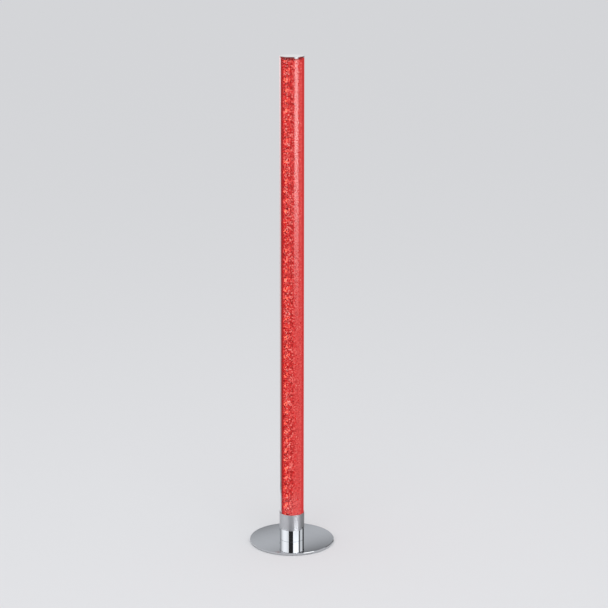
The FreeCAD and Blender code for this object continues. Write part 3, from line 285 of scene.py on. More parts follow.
def plated_part(name, shade, rough_low, rough_high):
    """Small turned or stamped metal with a thin plating, uneven in shade and dullness."""
    material, tree = new_material(name)
    place = node(tree, "ShaderNodeTexCoord").outputs["Object"]
    # Blotches of the plating bath, 2 mm across
    blotch = node(tree, "ShaderNodeTexNoise", {"Vector": place, "Scale": 500.0, "Detail": 4.0})
    tint = node(tree, "ShaderNodeMix", {0: blotch.outputs[0], LOW: rgba(dimmed(shade, 0.72)), HIGH: rgba(shade)},
                data_type="RGBA")
    rough = node(tree, "ShaderNodeMapRange", {"Value": blotch.outputs[0],
                                              "To Min": rough_low, "To Max": rough_high})
    shader = node(tree, "ShaderNodeBsdfPrincipled", {
        "Base Color": tint.outputs[MIXED], "Metallic": 1.0, "Roughness": rough.outputs[0],
    })
    node(tree, "ShaderNodeOutputMaterial", {"Surface": shader.outputs[0]})
    return material


def moulded_plastic(name, shade, roughness, grain_mm, light=(0, 0, 0)):
    """
    Injection moulded plastic: an even colour, clouded a little where it flowed, over the fine grain of the spark
    eroded mould. Light is what the LEDs throw on it.
    """
    material, tree = new_material(name)
    place = node(tree, "ShaderNodeTexCoord").outputs["Object"]
    grain = node(tree, "ShaderNodeTexNoise", {"Vector": place, "Scale": 1000.0 / grain_mm, "Detail": 2.0})
    # Clouds are 11 mm across
    flow = node(tree, "ShaderNodeTexNoise", {"Vector": place, "Scale": 90.0, "Detail": 1.0})
    tint = node(tree, "ShaderNodeMix", {0: flow.outputs[0], LOW: rgba(dimmed(shade, 0.88)), HIGH: rgba(shade)},
                data_type="RGBA")
    bump = node(tree, "ShaderNodeBump", {"Height": grain.outputs[0], "Strength": 0.15, "Distance": 0.0002})
    shader = node(tree, "ShaderNodeBsdfPrincipled", {
        "Base Color": tint.outputs[MIXED], "Roughness": roughness, "IOR": 1.5, "Normal": bump.outputs[0],
        "Emission Color": rgba(light), "Emission Strength": 1.0,
    })
    node(tree, "ShaderNodeOutputMaterial", {"Surface": shader.outputs[0]})
    return material


def closed_cell_foam(shade):
    """Closed cell foam: matt, painted darker inside its cut cells and with painted highlights on their rims."""
    material, tree = new_material("closed_cell_foam")
    place = node(tree, "ShaderNodeTexCoord").outputs["Object"]
    # Cells are 0.4 mm across
    cells = node(tree, "ShaderNodeTexVoronoi", {"Vector": place, "Scale": 2500.0})
    # Painted shade in the middle of each cell and a painted highlight on its rim
    tint = node(tree, "ShaderNodeMix", {0: cells.outputs[0], LOW: rgba(dimmed(shade, 0.5)), HIGH: rgba(shade)},
                data_type="RGBA")
    bump = node(tree, "ShaderNodeBump", {"Height": cells.outputs[0], "Strength": 0.5, "Distance": 0.0003})
    shader = node(tree, "ShaderNodeBsdfPrincipled", {
        "Base Color": tint.outputs[MIXED], "Roughness": 0.9, "Normal": bump.outputs[0],
    })
    node(tree, "ShaderNodeOutputMaterial", {"Surface": shader.outputs[0]})
    return material


def solder_mask(name, shade, field_mm):
    """Etched copper under solder mask: its fields show slightly raised and lighter, between darker gaps."""
    material, tree = new_material(name)
    place = node(tree, "ShaderNodeTexCoord").outputs["Object"]
    squares = node(tree, "ShaderNodeTexVoronoi", {"Vector": place, "Scale": 1000.0 / field_mm, "Randomness": 0.6},
                   distance="CHEBYCHEV", feature="F1")
    track = node(tree, "ShaderNodeMapRange", {"Value": squares.outputs[0], "From Min": 0.42, "From Max": 0.48})
    tint = node(tree, "ShaderNodeMix", {0: track.outputs[0], LOW: rgba(shade), HIGH: rgba(dimmed(shade, 0.8))},
                data_type="RGBA")
    bump = node(tree, "ShaderNodeBump", {"Height": track.outputs[0], "Strength": 0.3, "Distance": 0.00004})
    bump.invert = True
    return material, tree, place, tint, bump


def controller_mask(shade):
    """Green solder mask of the controller board, glossy from its curing."""
    material, tree, _, tint, bump = solder_mask("green_solder_mask", shade, field_mm=2.2)
    shader = node(tree, "ShaderNodeBsdfPrincipled", {
        "Base Color": tint.outputs[MIXED], "Roughness": 0.28, "IOR": 1.5, "Normal": bump.outputs[0],
    })
    node(tree, "ShaderNodeOutputMaterial", {"Surface": shader.outputs[0]})
    return material


def led_light(tree, place, colours, pitch):
    """Light that the LEDs throw on what carries them: colour and strength, brightest round each LED."""
    spot = node(tree, "ShaderNodeSeparateXYZ", {"Vector": place})
    # Height to the nearest LED, from the first one's height and their pitch
    shifted = node(tree, "ShaderNodeMath", {0: spot.outputs["Z"], 1: FIRST_LED - pitch / 2}, operation="SUBTRACT")
    wrapped = node(tree, "ShaderNodeMath", {0: shifted.outputs[0], 1: pitch}, operation="FLOORED_MODULO")
    along = node(tree, "ShaderNodeMath", {0: wrapped.outputs[0], 1: pitch / 2}, operation="SUBTRACT")
    # The light reaches twice as far sideways
    sideways = node(tree, "ShaderNodeMath", {0: spot.outputs["X"], 1: 0.5}, operation="MULTIPLY")
    across = node(tree, "ShaderNodeCombineXYZ", {"X": sideways.outputs[0], "Y": along.outputs[0]})
    away = node(tree, "ShaderNodeVectorMath", {0: across.outputs[0]}, operation="LENGTH")
    near = node(tree, "ShaderNodeMapRange", {"Value": away.outputs["Value"], "From Min": HALO_START,
                                             "From Max": HALO_END, "To Min": 1.0, "To Max": 0.0},
                interpolation_type="SMOOTHERSTEP")
    tone = node(tree, "ShaderNodeMix", {0: near.outputs[0], LOW: rgba(colours.glow_side),
                                        HIGH: rgba(colours.led_halo)}, data_type="RGBA")
    power = node(tree, "ShaderNodeMapRange", {"Value": near.outputs[0], "To Min": 0.15, "To Max": 1.0})
    return tone.outputs[MIXED], power.outputs[0]


def lit_board_mask(colours, pitch):
    """White solder mask of the LED boards, bright with red light round each LED."""
    material, tree, place, tint, bump = solder_mask("lit_white_solder_mask", colours.mask_white, field_mm=3.0)
    light, power = led_light(tree, place, colours, pitch)
    shader = node(tree, "ShaderNodeBsdfPrincipled", {
        "Base Color": tint.outputs[MIXED], "Roughness": 0.4, "Normal": bump.outputs[0],
        "Emission Color": light, "Emission Strength": power,
    })
    node(tree, "ShaderNodeOutputMaterial", {"Surface": shader.outputs[0]})
    return material


def led_window(light):
    """Clear silicone lens over a lit LED: very bright, with the dies' hot spots."""
    material, tree = new_material("lit_clear_silicone")
    place = node(tree, "ShaderNodeTexCoord").outputs["Object"]
    # Dies stand about 1 mm apart
    dies = node(tree, "ShaderNodeTexVoronoi", {"Vector": place, "Scale": 900.0})
    power = node(tree, "ShaderNodeMapRange", {"Value": dies.outputs[0], "To Min": 2.1, "To Max": 1.5})
    shader = node(tree, "ShaderNodeEmission", {"Color": rgba(light), "Strength": power.outputs[0]})
    node(tree, "ShaderNodeOutputMaterial", {"Surface": shader.outputs[0]})
    return material


def clear_acrylic(light, lip, groove, lip_radius):
    """
    Clear extruded acrylic: gloss over whatever is behind, softened by faint drawing lines, and red light in its
    edges. The cover's lips start at lip, end in the metal at groove, and lie outside lip_radius.
    """
    material, tree = new_material("clear_extruded_acrylic")
    place = node(tree, "ShaderNodeTexCoord").outputs["Object"]
    # Drawing lines are 1 mm apart and run along the column
    drawn = node(tree, "ShaderNodeMapping", {"Vector": place, "Scale": (1000, 1000, 3)})
    lines = node(tree, "ShaderNodeTexNoise", {"Vector": drawn.outputs[0], "Scale": 1.0, "Detail": 2.0})
    rough = node(tree, "ShaderNodeMapRange", {"Value": lines.outputs[0], "To Min": 0.08, "To Max": 0.16})
    gloss = node(tree, "ShaderNodeBsdfPrincipled", {"Base Color": WHITE, "Metallic": 1.0,
                                                    "Roughness": rough.outputs[0]})
    clear = node(tree, "ShaderNodeBsdfTransparent", {"Color": WHITE})
    spot = node(tree, "ShaderNodeSeparateXYZ", {"Vector": place})
    # The front holds more of the light than the sides, and the lips stand in the shade of the metal's groove
    front = node(tree, "ShaderNodeMapRange", {"Value": spot.outputs["Y"], "From Min": -COLUMN_RADIUS,
                                              "From Max": lip, "To Min": 1.05, "To Max": 0.7})
    shade = node(tree, "ShaderNodeMapRange", {"Value": spot.outputs["Y"], "From Min": lip + 0.8 * MM,
                                              "From Max": groove, "To Min": 0.0, "To Max": 0.6})
    radius = axis_distance(tree, place)
    outside = node(tree, "ShaderNodeMath", {0: radius, 1: lip_radius}, operation="GREATER_THAN")
    lost = node(tree, "ShaderNodeMath", {0: shade.outputs[0], 1: outside.outputs[0]}, operation="MULTIPLY")
    kept = node(tree, "ShaderNodeMath", {0: 1.0, 1: lost.outputs[0]}, operation="SUBTRACT")
    power = node(tree, "ShaderNodeMath", {0: front.outputs[0], 1: kept.outputs[0]}, operation="MULTIPLY")
    lit = node(tree, "ShaderNodeBsdfPrincipled", {
        "Base Color": rgba(dimmed(light, 0.2)), "Roughness": 0.4, "IOR": ACRYLIC_IOR, "Specular IOR Level": 0.1,
        "Emission Color": rgba(light), "Emission Strength": power.outputs[0],
    })
    # Light runs along inside the wall, seen where the wall is looked at edge on
    grazing = node(tree, "ShaderNodeLayerWeight", {"Blend": 0.5})
    edge = node(tree, "ShaderNodeMapRange", {"Value": grazing.outputs["Facing"], "From Min": 0.5, "From Max": 0.6})
    at_lip = node(tree, "ShaderNodeMath", {0: spot.outputs["Y"], 1: lip}, operation="GREATER_THAN")
    red = node(tree, "ShaderNodeMath", {0: edge.outputs[0], 1: at_lip.outputs[0]}, operation="MAXIMUM")
    pane = node(tree, "ShaderNodeMixShader", {0: red.outputs[0], 1: clear.outputs[0], 2: lit.outputs[0]})
    mirror = node(tree, "ShaderNodeFresnel", {"IOR": ACRYLIC_IOR})
    most = node(tree, "ShaderNodeMath", {0: mirror.outputs[0], 1: COVER_GLOSS}, operation="MINIMUM")
    wall = node(tree, "ShaderNodeNewGeometry")
    outward = node(tree, "ShaderNodeMath", {0: 1.0, 1: wall.outputs["Backfacing"]}, operation="SUBTRACT")
    share = node(tree, "ShaderNodeMath", {0: most.outputs[0], 1: outward.outputs[0]}, operation="MULTIPLY")
    shader = node(tree, "ShaderNodeMixShader", {0: share.outputs[0], 1: pane.outputs[0], 2: gloss.outputs[0]})
    node(tree, "ShaderNodeOutputMaterial", {"Surface": shader.outputs[0]})
    return material


def crackle_painted_light(tree, colours):
    """Colour and strength of the facets' painted light, each facet's lot from 0 to 1, and the share that is closed.
    """
    place = node(tree, "ShaderNodeTexCoord").outputs["Object"]
    spot = node(tree, "ShaderNodeSeparateXYZ", {"Vector": place})
    group = node(tree, "ShaderNodeTexVoronoi", {"Vector": place, "Scale": GROUPS_PER_METRE})
    facet = node(tree, "ShaderNodeTexVoronoi", {"Vector": place, "Scale": FACETS_PER_METRE})
    group_shade = node(tree, "ShaderNodeSeparateColor", {"Color": group.outputs["Color"]})
    facet_shade = node(tree, "ShaderNodeSeparateColor", {"Color": facet.outputs["Color"]})
    fine = node(tree, "ShaderNodeMapRange", {"Value": facet_shade.outputs["Red"], "To Min": -1.1, "To Max": 1.1})
    wide = node(tree, "ShaderNodeMapRange", {"Value": group_shade.outputs["Red"], "To Min": -0.15, "To Max": 0.15})
    both = node(tree, "ShaderNodeMath", {0: fine.outputs[0], 1: wide.outputs[0]}, operation="ADD")
    # Painted glints and shade: facets look calm in front, sparkle at the sides, and towards the metal the light runs
    # out
    calm = 0.25
    side = node(tree, "ShaderNodeMapRange", {"Value": spot.outputs["Y"], "From Min": FILM_EVEN,
                                             "From Max": FILM_SPARKLES, "To Min": calm, "To Max": 1.0})
    rim = node(tree, "ShaderNodeMapRange", {"Value": spot.outputs["Y"], "From Min": FILM_SPARKLES,
                                            "From Max": FILM_DARK, "To Min": 1.0, "To Max": 0.15})
    shade = node(tree, "ShaderNodeMath", {0: both.outputs[0], 1: side.outputs[0]}, operation="MULTIPLY")
    power = node(tree, "ShaderNodeMapRange", {"Value": shade.outputs[0], "From Min": -1.0, "From Max": 1.0,
                                              "To Min": 0.7, "To Max": 1.3})
    dark = node(tree, "ShaderNodeMapRange", {"Value": shade.outputs[0], "From Min": -1.0, "From Max": 0.0})
    base = node(tree, "ShaderNodeMix", {0: side.outputs[0], LOW: rgba(colours.glow), HIGH: rgba(colours.glow_side)},
                data_type="RGBA")
    low = node(tree, "ShaderNodeMix", {0: dark.outputs[0], LOW: rgba(colours.glow_dark), HIGH: base.outputs[MIXED]},
               data_type="RGBA")
    glint = node(tree, "ShaderNodeMapRange", {"Value": shade.outputs[0], "From Min": 0.0, "From Max": 1.0})
    steep = node(tree, "ShaderNodeMath", {0: glint.outputs[0], 1: 1.5}, operation="POWER")
    bright = node(tree, "ShaderNodeMath", {0: steep.outputs[0], 1: rim.outputs[0]}, operation="MULTIPLY")
    high = node(tree, "ShaderNodeMix", {0: bright.outputs[0], LOW: low.outputs[MIXED],
                                        HIGH: rgba(colours.glow_bright)}, data_type="RGBA")
    # Some facets are turned so that the eye looks between them: one in ten in front, four in ten at the sides
    turned = node(tree, "ShaderNodeMapRange", {"Value": side.outputs[0], "From Min": calm, "From Max": 1.0,
                                               "To Min": 0.1, "To Max": 0.42})
    gaps = node(tree, "ShaderNodeMath", {0: turned.outputs[0], 1: rim.outputs[0]}, operation="MULTIPLY")
    closed = node(tree, "ShaderNodeMath", {0: 1.0, 1: gaps.outputs[0]}, operation="SUBTRACT")
    # Painted shade under the cap: the film's light fades where it runs into its holder
    end = node(tree, "ShaderNodeMapRange", {"Value": spot.outputs["Z"], "From Min": FILM_HIGH.z - 4 * MM,
                                            "From Max": FILM_HIGH.z - 1.5 * MM, "To Min": 1.0, "To Max": 0.45})
    light = node(tree, "ShaderNodeVectorMath", {0: high.outputs[MIXED], "Scale": end.outputs[0]}, operation="SCALE")
    return light.outputs[0], power.outputs[0], facet_shade.outputs["Blue"], closed.outputs[0]


def crackled_film(colours):
    """Clear film with a pressed crackle, lit from behind: each facet throws more or less of the red light out."""
    material, tree = new_material("crackled_polyester_film")
    light, power, turn, closed = crackle_painted_light(tree, colours)
    # The film's base colour carries the painted glow and glints as well, at 0.4 of their light
    painted_glow_base = node(tree, "ShaderNodeVectorMath", {0: light, "Scale": 0.4}, operation="SCALE")
    strength = node(tree, "ShaderNodeMath", {0: power, 1: 0.6}, operation="MULTIPLY")
    body = node(tree, "ShaderNodeBsdfPrincipled", {
        "Base Color": painted_glow_base.outputs[0], "Roughness": 0.3, "IOR": 1.5, "Specular IOR Level": 0.05,
        "Emission Color": light, "Emission Strength": strength.outputs[0],
    })
    clear = node(tree, "ShaderNodeBsdfTransparent", {"Color": WHITE})
    wall = node(tree, "ShaderNodeNewGeometry")
    gap = node(tree, "ShaderNodeMath", {0: turn, 1: closed}, operation="GREATER_THAN")
    see = node(tree, "ShaderNodeMath", {0: gap.outputs[0], 1: wall.outputs["Backfacing"]}, operation="MAXIMUM")
    shader = node(tree, "ShaderNodeMixShader", {0: see.outputs[0], 1: body.outputs[0], 2: clear.outputs[0]})
    node(tree, "ShaderNodeOutputMaterial", {"Surface": shader.outputs[0]})
    return material


def film_inside(colours):
    """The film's inner face, closer to the LEDs and evenly lit."""
    material, tree = new_material("crackled_polyester_film_inside")
    light = crackle_painted_light(tree, colours)[0]
    body = node(tree, "ShaderNodeEmission", {"Color": light, "Strength": 1.0})
    clear = node(tree, "ShaderNodeBsdfTransparent", {"Color": WHITE})
    wall = node(tree, "ShaderNodeNewGeometry")
    shader = node(tree, "ShaderNodeMixShader", {0: wall.outputs["Backfacing"], 1: body.outputs[0],
                                                2: clear.outputs[0]})
    node(tree, "ShaderNodeOutputMaterial", {"Surface": shader.outputs[0]})
    return material


# Pieces


class LampOperator:
    """What all steps share"""
    bl_options = {"REGISTER"}


class LAMP_OT_foot(LampOperator, bpy.types.Operator):
    """Finish the plate, the foam under it and the screws that hold the cup"""
    bl_idname = "lamp.foot"
    bl_label = "Foot"

    def execute(self, context):
        colours = context.scene.lamp_colours
        dress(chrome_plating("chromed_steel_plate", colours.chrome), "base_plate")
        dress(closed_cell_foam(colours.foam), "floor_pad", "cap_tape")
        dress(plated_part("zinc_plated_steel", colours.zinc, rough_low=0.25, rough_high=0.45),
              "base_screws", "nut_plate", "board_screws", "lower_holder_screws", "upper_holder_screws")
        return {"FINISHED"}


class LAMP_OT_cup(LampOperator, bpy.types.Operator):
    """Finish the cup, the supply inlet in it and the collar above it"""
    bl_idname = "lamp.cup"
    bl_label = "Cup and collar"

    def execute(self, context):
        colours = context.scene.lamp_colours
        dress(chrome_plating("chromed_steel_cup", colours.chrome), "socket_cup")
        dress(brushed_steel_collar(colours.satin), "collar")
        dress(plated_part("blackened_steel", colours.black_oxide, rough_low=0.35, rough_high=0.5), "set_screws")
        dress(moulded_plastic("moulded_black_polyamide", colours.resin, roughness=0.45, grain_mm=0.3),
              "dc_jack_body")
        dress(plated_part("drawn_brass", colours.brass, rough_low=0.18, rough_high=0.3),
              "dc_jack_pin", "dc_jack_contact")
        dress(plated_part("nickel_plated_brass", colours.nickel, rough_low=0.2, rough_high=0.35),
              "dc_jack_nut", "board_spacers")
        dress(moulded_plastic("moulded_black_polycarbonate", colours.holder, roughness=0.4, grain_mm=0.4),
              "lower_holder")
        return {"FINISHED"}


class LAMP_OT_controller(LampOperator, bpy.types.Operator):
    """Finish the controller board, its parts and the wires"""
    bl_idname = "lamp.controller"
    bl_label = "Controller"

    def execute(self, context):
        colours = context.scene.lamp_colours
        dress(controller_mask(colours.mask_green), "controller_board")
        dress(moulded_plastic("moulded_epoxy_resin", colours.resin, roughness=0.5, grain_mm=0.15),
              "microcontroller", "voltage_regulator", "driver_transistors", "board_resistors")
        dress(moulded_plastic("shrunk_polyester_sleeve", colours.sleeve, roughness=0.2, grain_mm=2.0),
              "buffer_capacitor")
        dress(moulded_plastic("moulded_green_polyamide", colours.terminal, roughness=0.45, grain_mm=0.3),
              "supply_terminal")
        dress(moulded_plastic("moulded_white_nylon", colours.nylon, roughness=0.4, grain_mm=0.3),
              "led_connector", "led_plug")
        dress(moulded_plastic("soft_vinyl_insulation", colours.wire, roughness=0.35, grain_mm=0.6),
              "led_harness", "supply_leads", "board_link")
        return {"FINISHED"}


class LAMP_OT_leds(LampOperator, bpy.types.Operator):
    """Finish the LED boards and set a lens on each LED"""
    bl_idname = "lamp.leds"
    bl_label = "LEDs"

    def execute(self, context):
        colours, sizes = context.scene.lamp_colours, context.scene.lamp_sizes
        dress(lit_board_mask(colours, sizes.led_pitch), "led_board_lower", "led_board_upper")
        # The LED packages glow with painted light from their LEDs
        package = moulded_plastic("moulded_white_polyphthalamide_lit", colours.mask_white, roughness=0.35, grain_mm=0.3,
                                  light=colours.led_halo)
        dress(package, "rgb_leds_lower", "rgb_leds_upper")
        # Tapes, resistors and receiver stand in dim red light beside the LEDs
        dim = dimmed(colours.wall_light, 0.35)
        dress(moulded_plastic("white_acrylic_foam_tape", colours.mask_white, roughness=0.6, grain_mm=0.5, light=dim),
              "led_tape_lower", "led_tape_upper")
        dress(moulded_plastic("moulded_epoxy_resin_lit", colours.resin, roughness=0.5, grain_mm=0.15, light=dim),
              "led_resistors_lower", "led_resistors_upper", "remote_receiver")
        # A lens is a dome that sits a little way in its package, where its other half is almost flat
        sunk, flatness = 0.05 * MM, 0.1
        radius = sizes.led_window / 2
        mesh = bmesh.new()
        for index in range(sizes.led_count):
            lens = bmesh.ops.create_uvsphere(mesh, u_segments=16, v_segments=8, radius=radius)["verts"]
            for corner in lens:
                if corner.co.z < 0:
                    corner.co.z *= flatness
            bmesh.ops.rotate(mesh, verts=lens, cent=(0, 0, 0), matrix=Matrix.Rotation(math.pi / 2, 3, "X"))
            middle = (0, LED_LOW.y + sunk, FIRST_LED + index * sizes.led_pitch)
            bmesh.ops.translate(mesh, verts=lens, vec=middle)
        bmesh.ops.recalc_face_normals(mesh, faces=mesh.faces)
        new_piece("led_lenses", mesh, led_window(colours.led))
        return {"FINISHED"}


class LAMP_OT_shell(LampOperator, bpy.types.Operator):
    """Finish the metal back and the clear cover"""
    bl_idname = "lamp.shell"
    bl_label = "Shell and cover"

    def execute(self, context):
        colours, sizes = context.scene.lamp_colours, context.scene.lamp_sizes
        # The metal's outer skin gets no light from the LEDs, and the lips of the cover end 3 mm deep in the metal
        skin, lip_wall, groove_depth = 1.0 * MM, 1.5 * MM, 3.0 * MM
        dress(polished_extrusion(colours, sizes.led_pitch, COLUMN_RADIUS - skin), "back_shell")
        lip = -COLUMN_RADIUS * math.cos(sizes.film_half_angle)
        dress(clear_acrylic(colours.wall_light, lip, lip + groove_depth, COLUMN_RADIUS - lip_wall), "front_cover")
        return {"FINISHED"}


class LAMP_OT_film(LampOperator, bpy.types.Operator):
    """Make the crackled film with its facets"""
    bl_idname = "lamp.film"
    bl_label = "Crackle film"

    def execute(self, context):
        colours, sizes = context.scene.lamp_colours, context.scene.lamp_sizes
        tall = FILM_HIGH.z - FILM_LOW.z
        rows = round(tall / sizes.facet)
        columns = round(2 * sizes.film_half_angle * sizes.film_radius / sizes.facet)
        mesh = bmesh.new()
        start = Vector((0, -sizes.film_radius, FILM_LOW.z))
        line = [mesh.verts.new(start + Vector((0, 0, tall * row / rows))) for row in range(rows + 1)]
        edges = [mesh.edges.new(pair) for pair in zip(line, line[1:])]
        bmesh.ops.rotate(mesh, verts=line, cent=(0, 0, 0), matrix=Matrix.Rotation(-sizes.film_half_angle, 3, "Z"))
        bmesh.ops.spin(mesh, geom=line + edges, cent=(0, 0, 0), axis=(0, 0, 1), steps=columns,
                       angle=2 * sizes.film_half_angle)
        bmesh.ops.remove_doubles(mesh, verts=mesh.verts, dist=sizes.facet / 100)
        # Every corner moves in or out, and up or down by less than a third of a facet. Its lot comes from a grid of
        # cells half a facet wide, shifted so that no corner lies between two cells
        off_grid = Vector((0.31, 0.17, 0.43))
        half_facet, climb = sizes.facet / 2, sizes.facet * 0.3
        for corner in mesh.verts:
            cell = noise.cell_vector(corner.co / half_facet + off_grid)
            outward = Vector((corner.co.x, corner.co.y, 0)).normalized()
            corner.co += outward * sizes.crinkle * (2 * cell.x - 1)
            if FILM_LOW.z + half_facet < corner.co.z < FILM_HIGH.z - half_facet:
                corner.co.z += climb * (2 * cell.y - 1)
        bmesh.ops.triangulate(mesh, faces=mesh.faces, quad_method="ALTERNATE")
        bmesh.ops.recalc_face_normals(mesh, faces=mesh.faces)
        # An open sheet has no inside, so its faces are turned away from the axis by hand
        sample = next(iter(mesh.faces))
        if sample.normal.dot(sample.calc_center_median() * Vector((1, 1, 0))) < 0:
            bmesh.ops.reverse_faces(mesh, faces=mesh.faces)
        piece = new_piece("crackle_film", mesh, crackled_film(colours))
        piece.data.materials.append(film_inside(colours))
        wall = piece.modifiers.new("Wall", "SOLIDIFY")
        wall.thickness = sizes.film_thick
        wall.offset = 0
        wall.material_offset = 1
        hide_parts("crystal_film")
        return {"FINISHED"}


class LAMP_OT_top(LampOperator, bpy.types.Operator):
    """Finish the cap and the holder under it"""
    bl_idname = "lamp.top"
    bl_label = "Top cap"

    def execute(self, context):
        colours = context.scene.lamp_colours
        dress(chrome_plating("chromed_steel_cap", colours.chrome), "top_cap")
        # The holder's rim stands in the cover's red light
        holder = moulded_plastic("moulded_black_polycarbonate_lit", colours.holder, roughness=0.4, grain_mm=0.4,
                                 light=dimmed(colours.wall_light, 0.3))
        dress(holder, "upper_holder")
        return {"FINISHED"}


# Studio


def card(name, start, end, low, high, material):
    """
    A curved reflector that only mirrors see. Its angles are counted to the right of the camera, and each of its
    edges is given by its distance from the column and its height.
    """
    studio = bpy.context.scene.lamp_studio
    mesh = bmesh.new()
    line = [mesh.verts.new((0, -distance, height)) for distance, height in (low, high)]
    edge = mesh.edges.new(line)
    turn = Matrix.Rotation(studio.azimuth + math.radians(start), 3, "Z")
    bmesh.ops.rotate(mesh, verts=line, cent=(0, 0, 0), matrix=turn)
    bmesh.ops.spin(mesh, geom=[*line, edge], cent=(0, 0, 0), axis=(0, 0, 1), steps=24,
                   angle=math.radians(end - start))
    made = new_object(name, finished_mesh(mesh, name, material))
    made.visible_camera = made.visible_diffuse = made.visible_shadow = made.visible_transmission = False


def panel_light(name, strength, tint=(1, 1, 1)):
    """Even light of a studio panel."""
    material, tree = new_material(name)
    shader = node(tree, "ShaderNodeEmission", {"Color": rgba(tint), "Strength": strength})
    node(tree, "ShaderNodeOutputMaterial", {"Surface": shader.outputs[0]})
    return material


def soft_edged_light(name, strength, edge_strength, middle, half_angle, full_height):
    """
    Light of a panel that grows with the square of the height, until it has its strength at full height, and
    fades from its middle towards its sides.
    """
    studio = bpy.context.scene.lamp_studio
    material, tree = new_material(name)
    place = node(tree, "ShaderNodeTexCoord").outputs["Object"]
    spot = node(tree, "ShaderNodeSeparateXYZ", {"Vector": place})
    rise = node(tree, "ShaderNodeMath", {0: spot.outputs["Z"], 1: full_height}, operation="DIVIDE")
    square = node(tree, "ShaderNodeMath", {0: rise.outputs[0], 1: 2.0}, operation="POWER")
    power = node(tree, "ShaderNodeMath", {0: square.outputs[0], 1: strength}, operation="MULTIPLY")
    level = node(tree, "ShaderNodeMapping", {"Vector": place, "Scale": (1, 1, 0)})
    across = node(tree, "ShaderNodeVectorMath", {0: level.outputs[0]}, operation="NORMALIZE")
    turn = studio.azimuth + math.radians(middle)
    facing = node(tree, "ShaderNodeVectorMath", {0: across.outputs[0], 1: (math.sin(turn), -math.cos(turn), 0)},
                  operation="DOT_PRODUCT")
    cap = node(tree, "ShaderNodeMapRange", {
        "Value": facing.outputs["Value"], "From Min": math.cos(math.radians(half_angle)), "From Max": 1.0,
        "To Min": edge_strength, "To Max": strength,
    })
    least = node(tree, "ShaderNodeMath", {0: power.outputs[0], 1: cap.outputs[0]}, operation="MINIMUM")
    shader = node(tree, "ShaderNodeEmission", {"Color": WHITE, "Strength": least.outputs[0]})
    node(tree, "ShaderNodeOutputMaterial", {"Surface": shader.outputs[0]})
    return material


def rising_light(name, tint, low, gain):
    """Light of a panel that grows evenly with the height: the metal's bright edge fades towards the floor."""
    material, tree = new_material(name)
    place = node(tree, "ShaderNodeTexCoord").outputs["Object"]
    spot = node(tree, "ShaderNodeSeparateXYZ", {"Vector": place})
    power = node(tree, "ShaderNodeMath", {0: spot.outputs["Z"], 1: gain, 2: low}, operation="MULTIPLY_ADD")
    shader = node(tree, "ShaderNodeEmission", {"Color": rgba(tint), "Strength": power.outputs[0]})
    node(tree, "ShaderNodeOutputMaterial", {"Surface": shader.outputs[0]})
    return material


def ridge_light(name, tint, height, slope, fall, least):
    """
    Light that is strongest along a slanting line and falls off on both sides: it shades the plate's mirror. The
    line crosses the column's axis at its height, and goes down to the camera's right with its slope.
    """
    studio = bpy.context.scene.lamp_studio
    material, tree = new_material(name)
    place = node(tree, "ShaderNodeTexCoord").outputs["Object"]
    slant = (slope * math.cos(studio.azimuth), slope * math.sin(studio.azimuth), 1)
    along = node(tree, "ShaderNodeVectorMath", {0: place, 1: slant}, operation="DOT_PRODUCT")
    above = node(tree, "ShaderNodeMath", {0: along.outputs["Value"], 1: height}, operation="SUBTRACT")
    square = node(tree, "ShaderNodeMath", {0: above.outputs[0], 1: 2.0}, operation="POWER")
    lost = node(tree, "ShaderNodeMath", {0: square.outputs[0], 1: fall}, operation="MULTIPLY")
    rest = node(tree, "ShaderNodeMath", {0: 1.0, 1: lost.outputs[0]}, operation="SUBTRACT")
    power = node(tree, "ShaderNodeMath", {0: rest.outputs[0], 1: least}, operation="MAXIMUM")
    shader = node(tree, "ShaderNodeEmission", {"Color": rgba(tint), "Strength": power.outputs[0]})
    node(tree, "ShaderNodeOutputMaterial", {"Surface": shader.outputs[0]})
    return material


